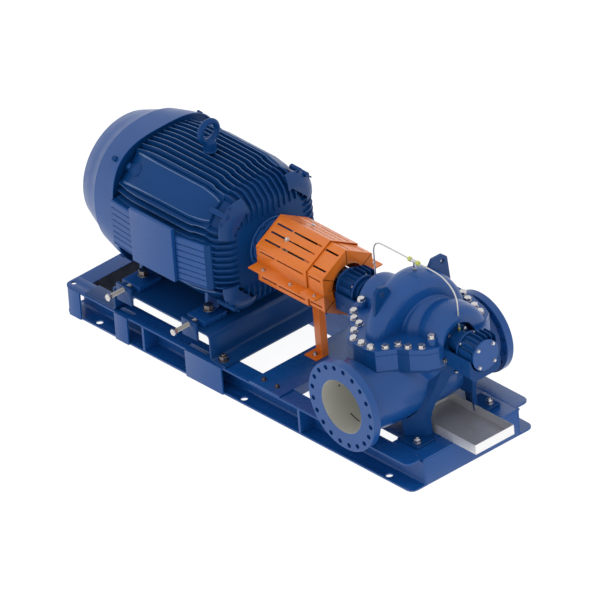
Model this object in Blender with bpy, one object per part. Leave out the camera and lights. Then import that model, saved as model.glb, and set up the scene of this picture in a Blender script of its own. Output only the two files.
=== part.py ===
"""Horizontal split case pump set: motor, guarded coupling and pump on a welded steel base.

The layout runs along X, motor at -X and pump at +X, with Y = 0 in the shaft's plane. The suction flange
faces -Y and the discharge flange +Y. Layout X = 0 is the pump end of the base, and Z = 0 is the ground.
One empty carries every piece and moves the layout's origin to the middle of the set's footprint.
All sizes are in metres.
"""

import math

import bmesh
import bpy
from mathutils import Matrix, Vector

GAP = 0.0003
PLATE = 0.012
GUARD_SHEET = 0.004
ROUND = 24

# Base
RAIL_HEIGHT = 0.186
RAIL_INNER = 0.369
RAIL_OUTER = 0.490
BASE_START = -3.071
WEB_START = -3.024
END_WEB = -2.950
FLANGE_END = -0.020
CORNER_RADIUS = 0.045
ANCHOR_X = (-2.810, -1.528, -0.2425)
ANCHOR_Y = 0.452
ANCHOR_RADIUS = 0.023
CLOSURES = ((-3.024, -2.923), (-2.615, -2.502), (-1.989, -1.666))
CLOSURE_THICK = 0.010
GUSSET_X = (-2.383, -1.002)
GUSSET_THICK = 0.018
FLANGE_SLOTS = ((-2.627, -2.496), (-2.016, -1.850))
SLOT_Y = 0.437
SLOT_WIDTH = 0.026
EAR_HOLE_X = -3.036
EAR_HOLE_Y = 0.438
EAR_HOLE_RADIUS = 0.017
DECK_START = -0.890
DECK_NOTCH = (-0.560, -0.289)
DECK_NOTCH_Y = 0.300
BEAM_X = (-1.423, -1.156)
BEAM_RIB_DEPTH = 0.060
END_PLATE_FOOT = 0.110

# Motor table
TABLE_TOP = 0.368
TABLE_HALF_WIDTH = 0.486
TABLE_FRONT = (-1.639, -1.767)
TABLE_REAR = (-2.615, -2.887)
TABLE_BEND = 0.026

# Shaft line
SHAFT_Z = 0.821
MOTOR_X = -2.217
PUMP_X = -0.410

# Motor
FRAME_CORE = 0.365
# (X, height of the middle fins' tips above the shaft)
FRAME_STATIONS = (
    (-2.620, 0.405), (-2.557, 0.417), (-2.499, 0.426), (-2.395, 0.433),
    (-1.986, 0.433), (-1.918, 0.416), (-1.8383, 0.402),
)
FRAME_POWER = 2.65
FIN_PITCH = 0.0425
FIN_THICK = 0.013
FIN_COUNT = 11
# (offset, height) of a corner panel's edge, and its ridge on the diagonal, as shares of the fins' height
PANEL_EDGE = (0.589, 0.887)
PANEL_RIDGE = 0.750
# (X, distance from the shaft's plane) of the louvre block's face, which leans in towards both ends
LOUVRE_LINE = ((-2.6197, 0.452), (-2.399, 0.471), (-2.025, 0.471), (-1.8383, 0.4335))
LOUVRE_Z = (0.643, 0.949)
# (X, half width, half height) of the drive end shield's rounded square
SHIELD_STATIONS = (
    (-1.838, 0.400, 0.400), (-1.768, 0.393, 0.393), (-1.750, 0.380, 0.380), (-1.707, 0.337, 0.337),
    (-1.696, 0.320, 0.320), (-1.689, 0.292, 0.292),
)
SHIELD_POWER = 3.1
SHIELD_HUB = ((-1.75, 0.150), (-1.680, 0.150), (-1.668, 0.120))
# (X, radius, power) of the fan cover: a round cone at the rear, then a ring that squares up at the frame
FAN_COVER_STATIONS = (
    (-2.992, 0.322, 2.0), (-2.984, 0.346, 2.0), (-2.968, 0.3625, 2.0), (-2.803, 0.4185, 2.2),
    (-2.797, 0.423, 2.3), (-2.710, 0.428, 2.7), (-2.6203, 0.432, 3.1),
)
FOOT_OFFSET = 0.2893
FOOT_HALF_LENGTH = 0.077
FOOT_Y = (0.262, 0.442)
FOOT_THICK = 0.036
FOOT_WEB_THICK = 0.030
FOOT_WEB_OUTER = (0.36, 0.345)
TERMINAL_X = (-2.399, -2.025)
TERMINAL_Z = (0.639, 1.005)
TERMINAL_FACE = 0.498
EYE_RING_RADIUS = 0.066
EYE_BAR_RADIUS = 0.019
EYE_TOP = 1.476
EYE_STEM_RADIUS = 0.042
EYE_FACETS = (20, 8)
JACK_LUG_HALF = 0.065
JACK_LUG_Z = (0.296, 0.415)
JACK_LUG_THICK = 0.018
JACK_Z = 0.3895
JACK_RADIUS = 0.012
JACK_HEAD_ACROSS = 0.036
JACK_HEAD_THICK = 0.018
JACK_END = 0.620

# Guard and coupling
COVER_X = (-1.595, -1.154)
COVER_RADIUS = 0.241
SLEEVE_X = (-1.225, -1.017)
SLEEVE_RADIUS = 0.229
EAR_WIDTH = 0.077
SLEEVE_EAR_START = COVER_X[1] + GAP
GUARD_HOLE_RADIUS = 0.128
GUARD_SLOT_WIDTH = 0.009
UPRIGHT_SLOT = 0.090
SLOPE_SLOTS = (-0.062, 0.0, 0.062)
SLEEVE_SLOPE_SLOTS = (-0.062, 0.062)
COVER_SLOTS = ((-1.565, -1.435), (-1.415, -1.184))
SLEEVE_SLOT = (-1.144, -1.042)
POST_FOOT_X = (-1.387, -1.278)
POST_FOOT_Y = (-0.081, 0.018)
POST_SHEET = 0.006
POST_LEG_WIDTH = 0.050
MOTOR_SHAFT_RADIUS = 0.055
PUMP_SHAFT_RADIUS = 0.042
MOTOR_SHAFT_X = (-1.755, -1.452)
PUMP_SHAFT_X = (-1.250, 0.188)
SPACER_BORE = 0.060
# (X, radius) of the turned coupling pieces
MOTOR_HUB = ((-1.560, 0.120), (-1.500, 0.120), (-1.500, 0.150), (-1.4603, 0.150))
SPACER = (
    (-1.460, 0.150), (-1.425, 0.150), (-1.425, 0.095), (-1.295, 0.095), (-1.295, 0.150), (-1.260, 0.150),
)
PUMP_HUB = ((-1.2597, 0.150), (-1.220, 0.150), (-1.220, 0.100), (-1.150, 0.100))

# Pump
SUCTION_FACE = -0.636
SUCTION_RADIUS = 0.292
SUCTION_BOLT_CIRCLE = 0.257
SUCTION_BOLTS = 20
SUCTION_THICK = 0.054
DISCHARGE_FACE = 0.510
DISCHARGE_RADIUS = 0.260
DISCHARGE_BOLT_CIRCLE = 0.2255
DISCHARGE_BOLTS = 16
DISCHARGE_THICK = 0.051
FLANGE_BOLT_HOLE = 0.0165
FLANGE_RIM = 0.004
# (Y, radius) of the blind bores
SUCTION_PASSAGE = ((-0.656, 0.175), (-0.35, 0.175), (-0.28, 0.150), (-0.24, 0.090))
DISCHARGE_PASSAGE = ((0.530, 0.152), (0.22, 0.152), (0.16, 0.110))
NOZZLE_Z = 0.507
SPLIT_FLANGE_TOP = 0.033
SPLIT_FLANGE_BOTTOM = 0.145
NEAR_OUTLINE = (
    (0.374, -0.104), (0.412, -0.104), (0.412, -0.160), (0.395, -0.215), (0.345, -0.275), (0.275, -0.325),
    (0.222, -0.345), (0.190, -0.425), (0.125, -0.478), (0.050, -0.488),
)
FAR_OUTLINE = (
    (0.050, 0.372), (0.130, 0.352), (0.230, 0.330), (0.310, 0.300), (0.345, 0.250), (0.395, 0.200),
    (0.412, 0.150), (0.412, 0.104), (0.374, 0.104),
)
# Spiral radii: far side, near side and the near side's end below the shaft
VOLUTE_FAR = 0.285
VOLUTE_NEAR = 0.391
VOLUTE_END = 0.46
VOLUTE_END_TURN = 1.75 * math.pi
CHAMBER_RADII = (0.330, 0.190)
OVERRUN = 0.06
SPIRAL_CORE = 0.020
CHAMBER_CORE = 0.021
# (X from the pump's middle, share of the spiral radius)
VOLUTE_PROFILE = (
    (-0.116, 0.66), (-0.109, 0.84), (-0.090, 0.93), (-0.050, 0.985), (0.0, 1.0),
    (0.050, 0.985), (0.090, 0.93), (0.109, 0.84), (0.116, 0.66),
)
CHAMBER_PROFILE = (
    (0.060, 0.99), (0.150, 0.97), (0.220, 0.92), (0.285, 0.85), (0.330, 0.74), (0.360, 0.62), (0.375, 0.54),
)
LUG_THICK = 0.026
LUG_HOLE_RADIUS = 0.017
LUG_HOLE_Y = (-0.238, 0.222)
LUG_HOLE_Z = 1.125
# (distance from the middle, Z)
LUG_OUTLINE = ((0.10, 1.02), (0.115, 1.125), (0.148, 1.172), (0.229, 1.171), (0.263, 1.142), (0.275, 0.980))
# (Y, Z, half width, half height, power) of the lower casing's body
BODY_STATIONS = (
    (-0.600, 0.507, 0.213, 0.213, 2.0),
    (-0.530, 0.507, 0.222, 0.222, 2.0),
    (-0.300, 0.507, 0.226, 0.226, 2.0),
    (0.080, 0.511, 0.223, 0.224, 2.1),
    (0.220, 0.509, 0.208, 0.210, 2.0),
    (0.410, 0.507, 0.185, 0.185, 2.0),
    (0.480, 0.507, 0.182, 0.182, 2.0),
)
# (Z, share of the split flange's outline) of the casing's sides below the flange
SHOULDERS = ((0.690, 0.93), (0.550, 0.72), (0.360, 0.50))
PUMP_FOOT_X = 0.261
PUMP_FOOT_Y = 0.305
PAD_HALF_LENGTH = 0.075
PAD_HALF_WIDTH = 0.062
PAD_THICK = 0.035
LEG_HALF_WIDTH = 0.055
LEG_FOOT_Y = (0.045, 0.010)
LEG_TOP_X = (0.22, 0.35)
LEG_TOP_Y = (0.03, 0.15)
LEG_TOP_Z = 0.685
GLAND_X = (0.3753, 0.395, 0.425)
GLAND_RADIUS = 0.100
GLAND_NOSE_RADIUS = 0.066
HOUSING_X = (0.440, 0.600)
HOUSING_RADIUS = 0.098
HOUSING_SPIGOT_RADIUS = 0.080
HOUSING_FLANGE_X = (0.452, 0.472)
HOUSING_FLANGE_RADIUS = 0.112
HOUSING_FIN_TURNS = (30, 60, 90, 120, 150)
HOUSING_FIN_X = (0.478, 0.588)
HOUSING_FIN_THICK = 0.012
HOUSING_FIN_REACH = 0.124
CAP_END = 0.612
CAP_RADII = (0.096, 0.092)
CAP_BOLTS = 6
CAP_BOLT_CIRCLE = 0.078
CAP_BOLT_RADIUS = 0.009
CAP_BOLT_HEAD = 0.016
BRACKET_X = (0.4125, 0.545)
BRACKET_RADIUS = 0.132
BRACKET_STEP = 15
FLUSH_RADIUS = 0.005
FLUSH_TOP = 1.221
FLUSH_BOTTOM = 0.928
FLUSH_DISTANCE = 0.385
FLUSH_BEND = 0.040
TEE_HALF_LENGTH = 0.045
TEE_RADIUS = 0.011
TRAY_X = (-0.395, 0.196)
TRAY_Y = (-0.136, 0.172)
TRAY_HEIGHT = 0.065
TRAY_SHEET = 0.003

# How far cutters reach about the pump
CUT_X = (-1.2, 0.4)
CUT_Y = (-0.6, 0.6)

X_MIN = BASE_START
X_MAX = PUMP_X + CAP_END + CAP_BOLT_HEAD
DATUM = (-(X_MIN + X_MAX) / 2, -(SUCTION_FACE + JACK_END) / 2, 0.0)


def clear_scene():
    for obj in list(bpy.data.objects):
        bpy.data.objects.remove(obj, do_unlink=True)


def make_material(name, color, metallic, roughness):
    material = bpy.data.materials.new(name)
    material.use_nodes = True
    shader = material.node_tree.nodes["Principled BSDF"]
    shader.inputs["Base Color"].default_value = (*color, 1.0)
    shader.inputs["Metallic"].default_value = metallic
    shader.inputs["Roughness"].default_value = roughness
    return material


def closed(bm):
    """Merges doubled corners, makes every face flat and turns it outwards."""
    bmesh.ops.remove_doubles(bm, verts=bm.verts, dist=1e-6)
    bmesh.ops.triangulate(bm, faces=bm.faces)
    bmesh.ops.recalc_face_normals(bm, faces=bm.faces)
    return bm


def loft(loops):
    """A closed solid through loops of equal length, with flat ends."""
    bm = bmesh.new()
    rings = [[bm.verts.new(point) for point in loop] for loop in loops]
    count = len(loops[0])
    for lower, upper in zip(rings, rings[1:]):
        for i in range(count):
            j = (i + 1) % count
            bm.faces.new((lower[i], lower[j], upper[j], upper[i]))
    bm.faces.new(rings[0])
    bm.faces.new(rings[-1])
    return closed(bm)


def block(x0, x1, y0, y1, z0, z1):
    base = ((x0, y0), (x1, y0), (x1, y1), (x0, y1))
    return loft([[(x, y, z) for x, y in base] for z in (z0, z1)])


def prism(outline, axis, start, end):
    """Extrudes an outline along an axis; its points are the other two coordinates in X, Y, Z order."""
    place = {
        "X": lambda a, b, t: (t, a, b),
        "Y": lambda a, b, t: (a, t, b),
        "Z": lambda a, b, t: (a, b, t),
    }[axis]
    return loft([[place(a, b, t) for a, b in outline] for t in (start, end)])


def circle(radius, count, center=(0.0, 0.0), turn=0.0):
    return [
        (
            center[0] + radius * math.cos(turn + 2 * math.pi * i / count),
            center[1] + radius * math.sin(turn + 2 * math.pi * i / count),
        )
        for i in range(count)
    ]


def turned(profile, count, center=(0.0, SHAFT_Z), axis="X", bore=0.0):
    """A turned solid: profile holds (place along the axis, radius) pairs; a bore leaves it hollow."""
    bm = bmesh.new()
    section = [(along, radius) for along, radius in profile]
    if bore:
        section += [(profile[-1][0], bore), (profile[0][0], bore)]
    rings = []
    for along, radius in section:
        ring = circle(radius, count, center)
        points = [(along, a, b) if axis == "X" else (a, along, b) for a, b in ring]
        rings.append([bm.verts.new(point) for point in points])
    pairs = list(zip(rings, rings[1:]))
    if bore:
        pairs.append((rings[-1], rings[0]))
    for lower, upper in pairs:
        for i in range(count):
            j = (i + 1) % count
            bm.faces.new((lower[i], lower[j], upper[j], upper[i]))
    if not bore:
        bm.faces.new(rings[0])
        bm.faces.new(rings[-1])
    return closed(bm)


def cylinder_y(x, z, radius, y0, y1, count=16):
    return turned([(y0, radius), (y1, radius)], count, center=(x, z), axis="Y")


def cylinder_z(x, y, radius, z0, z1, count=16):
    return prism(circle(radius, count, (x, y)), "Z", z0, z1)


def rounded(points, radius, steps=3):
    """The path with each inner corner replaced by an arc."""
    path = [Vector(points[0])]
    for last, point, following in zip(points, points[1:], points[2:]):
        corner = Vector(point)
        before = (Vector(last) - corner).normalized()
        after = (Vector(following) - corner).normalized()
        half = before.angle(after) / 2
        reach = radius / math.tan(half)
        middle = corner + (before + after).normalized() * radius / math.sin(half)
        start = corner + before * reach - middle
        end = corner + after * reach - middle
        sweep = start.angle(end)
        for k in range(steps + 1):
            ahead, behind = math.sin(sweep * k / steps), math.sin(sweep * (1 - k / steps))
            path.append(middle + (start * behind + end * ahead) / math.sin(sweep))
    path.append(Vector(points[-1]))
    return path


def sheet_outline(path, thick):
    """The closed outline of a sheet bent along a 2D path through its middle."""
    left, right = [], []
    for i, point in enumerate(path):
        ahead = (path[min(i + 1, len(path) - 1)] - point)
        behind = (point - path[max(i - 1, 0)])
        if ahead.length == 0:
            ahead = behind
        if behind.length == 0:
            behind = ahead
        side = (ahead.normalized() + behind.normalized()).normalized()
        normal = Vector((-side.y, side.x))
        spread = thick / 2 / max(normal.dot(Vector((-behind.normalized().y, behind.normalized().x))), 0.3)
        left.append(point + normal * spread)
        right.append(point - normal * spread)
    return [tuple(p) for p in left] + [tuple(p) for p in reversed(right)]


def squircle(half_y, half_z, power, count):
    """A rounded square about the shaft, as (y, z) pairs; power 2 is a circle."""
    points = []
    for i in range(count):
        angle = 2 * math.pi * (i + 0.5) / count
        c, s = math.cos(angle), math.sin(angle)
        y = half_y * math.copysign(abs(c) ** (2 / power), c)
        z = half_z * math.copysign(abs(s) ** (2 / power), s)
        points.append((y, SHAFT_Z + z))
    return points


def solid(name, bm, material, joins=(), cuts=()):
    """One named piece: its body, what is fused to it and what is cut from it."""
    obj = place_mesh(name, bm, material)
    for number, extra in enumerate(joins):
        boolean(obj, extra, "UNION", number)
    for number, extra in enumerate(cuts):
        boolean(obj, extra, "DIFFERENCE", number)
    return obj


def place_mesh(name, bm, material):
    mesh = bpy.data.meshes.new(name)
    bm.to_mesh(mesh)
    bm.free()
    mesh.materials.append(material)
    obj = bpy.data.objects.new(name, mesh)
    obj.parent = bpy.data.objects["set_datum"]
    bpy.context.scene.collection.objects.link(obj)
    return obj


def boolean(obj, bm, operation, number):
    label = f"{obj.name}_{operation.lower()}_{number}"
    tool = place_mesh(label, bm, obj.data.materials[0])
    tool.hide_render = True
    tool.display_type = "WIRE"
    modifier = obj.modifiers.new(label, "BOOLEAN")
    modifier.operation = operation
    modifier.solver = "EXACT"
    modifier.object = tool


def rail_flange(side, z0, x_end):
    corners = [
        (BASE_START, RAIL_INNER), (BASE_START, RAIL_OUTER), (x_end, RAIL_OUTER), (x_end, RAIL_INNER),
    ]
    return prism([(x, side * y) for x, y in rounded(corners, CORNER_RADIUS)], "Z", z0, z0 + PLATE)


def build_rail(name, side, material):
    web = block(WEB_START, 0.0, side * RAIL_INNER, side * (RAIL_INNER + PLATE), 0.0, RAIL_HEIGHT)
    joins = [
        rail_flange(side, 0.0, 0.0),
        rail_flange(side, RAIL_HEIGHT - PLATE, FLANGE_END),
    ]
    edge = side * (RAIL_OUTER - 0.002)
    face = side * (RAIL_OUTER + CLOSURE_THICK)
    for x0, x1 in CLOSURES:
        joins.append(block(x0, x1, edge, face, 0.0, RAIL_HEIGHT - 0.001))
    for x in GUSSET_X:
        y0 = side * (RAIL_INNER + PLATE / 2)
        z1 = RAIL_HEIGHT - PLATE / 2
        joins.append(block(x, x + GUSSET_THICK, y0, side * (RAIL_OUTER - 0.001), PLATE / 2, z1))
    cuts = [cylinder_z(x, side * ANCHOR_Y, ANCHOR_RADIUS, -0.01, 0.03) for x in ANCHOR_X]
    cuts.append(cylinder_z(EAR_HOLE_X, side * EAR_HOLE_Y, EAR_HOLE_RADIUS, 0.16, 0.2))
    for x0, x1 in FLANGE_SLOTS:
        y0, y1 = side * SLOT_Y - SLOT_WIDTH / 2, side * SLOT_Y + SLOT_WIDTH / 2
        cuts.append(block(x0, x1, y0, y1, 0.15, 0.2))
    solid(name, web, material, joins, cuts)


def build_base(blue):
    build_rail("base_rail_near", -1, blue)
    build_rail("base_rail_far", 1, blue)
    inside = RAIL_INNER - GAP
    channel = [
        (BASE_START, 0.0), (END_WEB, 0.0), (END_WEB, RAIL_HEIGHT), (BASE_START, RAIL_HEIGHT),
        (BASE_START, RAIL_HEIGHT - PLATE), (END_WEB - PLATE, RAIL_HEIGHT - PLATE),
        (END_WEB - PLATE, PLATE), (BASE_START, PLATE),
    ]
    solid("base_motor_end_channel", prism(channel, "Y", -inside, inside), blue)
    angle = [
        (-END_PLATE_FOOT, 0.0), (0.0, 0.0), (0.0, RAIL_HEIGHT - PLATE - GAP),
        (-PLATE, RAIL_HEIGHT - PLATE - GAP), (-PLATE, PLATE), (-END_PLATE_FOOT, PLATE),
    ]
    solid("base_pump_end_plate", prism(angle, "Y", -inside, inside), blue)
    deck = block(DECK_START, -0.002, -inside, inside, RAIL_HEIGHT - PLATE, RAIL_HEIGHT)
    notches = [
        block(*DECK_NOTCH, side * DECK_NOTCH_Y, side * (RAIL_INNER + 0.01), 0.16, 0.2) for side in (-1, 1)
    ]
    ribs = [
        block(x, x + PLATE, -inside, inside, RAIL_HEIGHT - PLATE - BEAM_RIB_DEPTH, RAIL_HEIGHT - PLATE / 2)
        for x in (DECK_START, PUMP_X - PLATE / 2)
    ]
    solid("pump_deck", deck, blue, ribs, notches)
    top = RAIL_HEIGHT + GAP
    beam = block(*BEAM_X, -RAIL_OUTER, RAIL_OUTER, top, top + PLATE)
    ribs = [
        block(x, x + PLATE, -inside, inside, top - BEAM_RIB_DEPTH, top + PLATE / 2)
        for x in (BEAM_X[0], BEAM_X[1] - PLATE)
    ]
    solid("guard_cross_beam", beam, blue, ribs)


def build_table(blue):
    foot = RAIL_HEIGHT + GAP + PLATE / 2
    top = TABLE_TOP - PLATE / 2
    path = [
        (TABLE_REAR[1], foot), (TABLE_REAR[0], foot), (TABLE_REAR[0], top),
        (TABLE_FRONT[1], top), (TABLE_FRONT[1], foot), (TABLE_FRONT[0], foot),
    ]
    outline = sheet_outline(rounded(path, TABLE_BEND), PLATE)
    joins, cuts = [], []
    for side in (-1, 1):
        for offset in (-FOOT_OFFSET, FOOT_OFFSET):
            x = MOTOR_X + offset
            y0 = side * (TABLE_HALF_WIDTH - 0.003)
            y1 = y0 + side * JACK_LUG_THICK
            joins.append(block(x - JACK_LUG_HALF, x + JACK_LUG_HALF, y0, y1, *JACK_LUG_Z))
            cuts.append(cylinder_y(x, JACK_Z, JACK_RADIUS + GAP, side * 0.46, side * 0.53, 12))
    solid("motor_table", prism(outline, "Y", -TABLE_HALF_WIDTH, TABLE_HALF_WIDTH), blue, joins, cuts)


def build_jack_bolts(steel):
    for side, side_name in ((-1, "near"), (1, "far")):
        for offset, end_name in ((-FOOT_OFFSET, "rear"), (FOOT_OFFSET, "front")):
            x = MOTOR_X + offset
            shank = cylinder_y(x, JACK_Z, JACK_RADIUS, side * (FOOT_Y[1] + GAP), side * (JACK_END - 0.01), 12)
            head = prism(
                circle(JACK_HEAD_ACROSS / math.sqrt(3), 6, (x, JACK_Z)), "Y",
                side * (JACK_END - JACK_HEAD_THICK), side * JACK_END,
            )
            solid(f"jacking_bolt_{side_name}_{end_name}", shank, steel, [head])


def fin_line(reach):
    """Points of one finned side, from one edge to the other, as (offset, height) pairs."""
    points = []
    for i in range(FIN_COUNT):
        middle = (i - (FIN_COUNT - 1) / 2) * FIN_PITCH
        a, b = middle - FIN_THICK / 2, middle + FIN_THICK / 2
        tip = reach * (1 - (abs(middle) / reach) ** FRAME_POWER) ** (1 / FRAME_POWER)
        points += [(a, FRAME_CORE), (a, tip), (b, tip), (b, FRAME_CORE)]
    return points


def frame_section(reach):
    """The motor frame's finned section about the shaft, as (y, z) pairs, for one station."""
    fins = fin_line(reach)
    offset, height = PANEL_EDGE[0] * reach, PANEL_EDGE[1] * reach
    ridge = PANEL_RIDGE * reach
    loop = []
    for turn in range(4):
        quarter = fins[::-1] + [(-offset, height), (-ridge, ridge), (-height, offset)]
        for _ in range(turn):
            quarter = [(-b, a) for a, b in quarter]
        loop += quarter
    return [(y, SHAFT_Z + z) for y, z in loop]


def build_motor(blue, steel):
    loops = [[(x, y, z) for y, z in frame_section(reach)] for x, reach in FRAME_STATIONS]
    face = [(x, -reach) for x, reach in LOUVRE_LINE]
    back = [(LOUVRE_LINE[-1][0], -FRAME_CORE + PLATE), (LOUVRE_LINE[0][0], -FRAME_CORE + PLATE)]
    louvres = prism(face + back, "Z", *LOUVRE_Z)
    solid("motor_frame", loft(loops), blue, [louvres])
    build_feet(blue)
    loops = [[(x, y, z) for y, z in squircle(hy, hz, SHIELD_POWER, 32)] for x, hy, hz in SHIELD_STATIONS]
    hub = turned(SHIELD_HUB, 32)
    bore = shaft_bore(MOTOR_SHAFT_X[0] - 0.005, MOTOR_SHAFT_X[1], MOTOR_SHAFT_RADIUS)
    solid("drive_end_shield", loft(loops), blue, [hub], [bore])
    loops = [[(x, y, z) for y, z in squircle(h, h, power, 40)] for x, h, power in FAN_COVER_STATIONS]
    solid("fan_cover", loft(loops), blue)
    plate = block(*TERMINAL_X, -TERMINAL_FACE, -(LOUVRE_LINE[1][1] + GAP), *TERMINAL_Z)
    solid("terminal_cover", plate, blue)
    build_eye(blue)
    shaft = turned([(x, MOTOR_SHAFT_RADIUS) for x in MOTOR_SHAFT_X], ROUND)
    solid("motor_shaft", shaft, steel)


def frame_reach(x):
    """Height of the middle fins' tips above the shaft at one place along the frame."""
    for (x0, low), (x1, high) in zip(FRAME_STATIONS, FRAME_STATIONS[1:]):
        if x0 <= x <= x1:
            return low + (high - low) * (x - x0) / (x1 - x0)
    raise ValueError(f"no frame at {x}")


def under_panel(reach, y):
    """Height just below the frame's lower corner panel, at a distance from the shaft's plane."""
    offset, height = PANEL_EDGE[0] * reach, PANEL_EDGE[1] * reach
    ridge = PANEL_RIDGE * reach
    (y0, drop0), (y1, drop1) = ((offset, height), (ridge, ridge))
    if y > ridge:
        (y0, drop0), (y1, drop1) = ((ridge, ridge), (height, offset))
    drop = drop0 + (drop1 - drop0) * (y - y0) / (y1 - y0)
    return SHAFT_Z - drop - 2 * GAP


def build_feet(blue):
    z0, z1 = TABLE_TOP + GAP, TABLE_TOP + GAP + FOOT_THICK
    half = FOOT_WEB_THICK / 2
    for side, side_name in ((-1, "near"), (1, "far")):
        for offset, end_name in ((-FOOT_OFFSET, "rear"), (FOOT_OFFSET, "front")):
            x = MOTOR_X + offset
            y0, y1 = side * FOOT_Y[0], side * FOOT_Y[1]
            sole = block(x - FOOT_HALF_LENGTH, x + FOOT_HALF_LENGTH, y0, y1, z0, z1)
            reach = max(frame_reach(x - half), frame_reach(x + half))
            top = [
                (side * y, under_panel(reach, y)) for y in (FOOT_WEB_OUTER[1], PANEL_RIDGE * reach, FOOT_Y[0])
            ]
            low = (z0 + z1) / 2
            web = [(y0, low), (side * FOOT_WEB_OUTER[0], low)] + top
            solid(f"motor_foot_{side_name}_{end_name}", sole, blue, [prism(web, "X", x - half, x + half)])


def build_eye(blue):
    z = EYE_TOP - EYE_RING_RADIUS - EYE_BAR_RADIUS
    bm = bmesh.new()
    rings = []
    around, across = EYE_FACETS
    for i in range(around):
        turn = 2 * math.pi * i / around
        ring = []
        for j in range(across):
            tilt = 2 * math.pi * j / across
            radius = EYE_RING_RADIUS + EYE_BAR_RADIUS * math.cos(tilt)
            x = MOTOR_X + EYE_BAR_RADIUS * math.sin(tilt)
            ring.append(bm.verts.new((x, radius * math.cos(turn), z + radius * math.sin(turn))))
        rings.append(ring)
    for i in range(around):
        lower, upper = rings[i], rings[(i + 1) % around]
        for j in range(across):
            k = (j + 1) % across
            bm.faces.new((lower[j], lower[k], upper[k], upper[j]))
    foot = SHAFT_Z + FRAME_STATIONS[4][1] + GAP
    stem = prism(circle(EYE_STEM_RADIUS, 16, (MOTOR_X, 0.0)), "Z", foot, z - EYE_RING_RADIUS)
    solid("lifting_eye", closed(bm), blue, [stem])


def hexagon_half(radius, side, ear):
    """The path of one guard half in Y and Z, from ear to ear, through the sheet's middle."""
    flat = radius * math.cos(math.radians(30)) - GUARD_SHEET / 2
    tip = radius - GUARD_SHEET / 2 / math.cos(math.radians(30))
    lift = GAP / 2 + GUARD_SHEET / 2
    points = [
        (-flat - ear, lift), (-flat, lift), (-flat, tip / 2), (0.0, tip), (flat, tip / 2), (flat, lift),
        (flat + ear, lift),
    ]
    return [Vector((y, SHAFT_Z + side * z)) for y, z in points]


def slot_cutter(x0, x1, face, place, radius, side):
    """A slot through one face of the guard: face 0 is upright and 1 sloped, on the given side."""
    flat = radius * math.cos(math.radians(30))
    half = GUARD_SLOT_WIDTH / 2
    bm = block(x0, x1, flat - 0.02, flat + 0.02, place - half, place + half)
    turn = Matrix.Rotation(math.radians(60 * face), 4, "X")
    bmesh.ops.transform(bm, matrix=turn, verts=bm.verts)
    if side < 0:
        bmesh.ops.transform(bm, matrix=Matrix.Diagonal((1, -1, 1, 1)), verts=bm.verts)
    bmesh.ops.transform(bm, matrix=Matrix.Translation((0, 0, SHAFT_Z)), verts=bm.verts)
    bmesh.ops.recalc_face_normals(bm, faces=bm.faces)
    return bm


def build_guard(orange, steel):
    for side, name in ((1, "upper"), (-1, "lower")):
        path = hexagon_half(COVER_RADIUS, side, EAR_WIDTH)
        body = prism(sheet_outline(path, GUARD_SHEET), "X", *COVER_X)
        cuts = []
        for hand in (-1, 1):
            for x0, x1 in COVER_SLOTS:
                cuts.append(slot_cutter(x0, x1, 0, side * UPRIGHT_SLOT, COVER_RADIUS, hand))
                if side > 0:
                    for place in SLOPE_SLOTS:
                        cuts.append(slot_cutter(x0, x1, 1, place, COVER_RADIUS, hand))
        solid(f"guard_cover_{name}", body, orange, (), cuts)
        build_sleeve(name, side, orange)
    build_post(orange)
    solid("coupling_hub_motor", turned(MOTOR_HUB, ROUND, bore=MOTOR_SHAFT_RADIUS + GAP), steel)
    solid("coupling_hub_pump", turned(PUMP_HUB, ROUND, bore=PUMP_SHAFT_RADIUS + GAP), steel)
    solid("coupling_spacer", turned(SPACER, ROUND, bore=SPACER_BORE), steel)


def build_sleeve(name, side, orange):
    path = hexagon_half(SLEEVE_RADIUS, side, EAR_WIDTH)
    body = prism(sheet_outline(path, GUARD_SHEET), "X", *SLEEVE_X)
    rim = [(p.y - SHAFT_Z, p.x) for p in path[1:-1]]
    low = side * GAP / 2
    inset = 0.001
    flat, tip = rim[-1][1] - inset, abs(rim[2][0]) - inset
    end = [
        (-flat, low), (-flat, side * tip / 2), (0.0, side * tip), (flat, side * tip / 2), (flat, low),
    ]
    end = [(y, SHAFT_Z + z) for y, z in end]
    plate = prism(end, "X", SLEEVE_X[1] - GUARD_SHEET, SLEEVE_X[1])
    cuts = [turned([(SLEEVE_X[1] + reach, GUARD_HOLE_RADIUS) for reach in (-0.05, 0.05)], 32)]
    for hand in (-1, 1):
        ear = hand * (SLEEVE_RADIUS * math.cos(math.radians(30)) + 0.0005)
        low, high = SHAFT_Z - 0.01, SHAFT_Z + 0.01
        cuts.append(block(SLEEVE_X[0] - 0.01, SLEEVE_EAR_START, ear, hand * 0.4, low, high))
        cuts.append(slot_cutter(*SLEEVE_SLOT, 0, side * UPRIGHT_SLOT, SLEEVE_RADIUS, hand))
        if side > 0:
            for place in SLEEVE_SLOPE_SLOTS:
                cuts.append(slot_cutter(*SLEEVE_SLOT, 1, place, SLEEVE_RADIUS, hand))
    solid(f"guard_sleeve_{name}", body, orange, [plate], cuts)


def build_post(orange):
    foot_z = RAIL_HEIGHT + PLATE + 2 * GAP
    foot = block(*POST_FOOT_X, *POST_FOOT_Y, foot_z, foot_z + POST_SHEET)
    top = SHAFT_Z - COVER_RADIUS - GAP
    x, y = POST_FOOT_X[1], POST_FOOT_Y[1]
    web = block(POST_FOOT_X[0], x, y - POST_SHEET, y, foot_z, top)
    leg = block(x - POST_SHEET, x, y - POST_LEG_WIDTH, y, foot_z, top)
    solid("guard_post", foot, orange, [web, leg])


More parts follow.
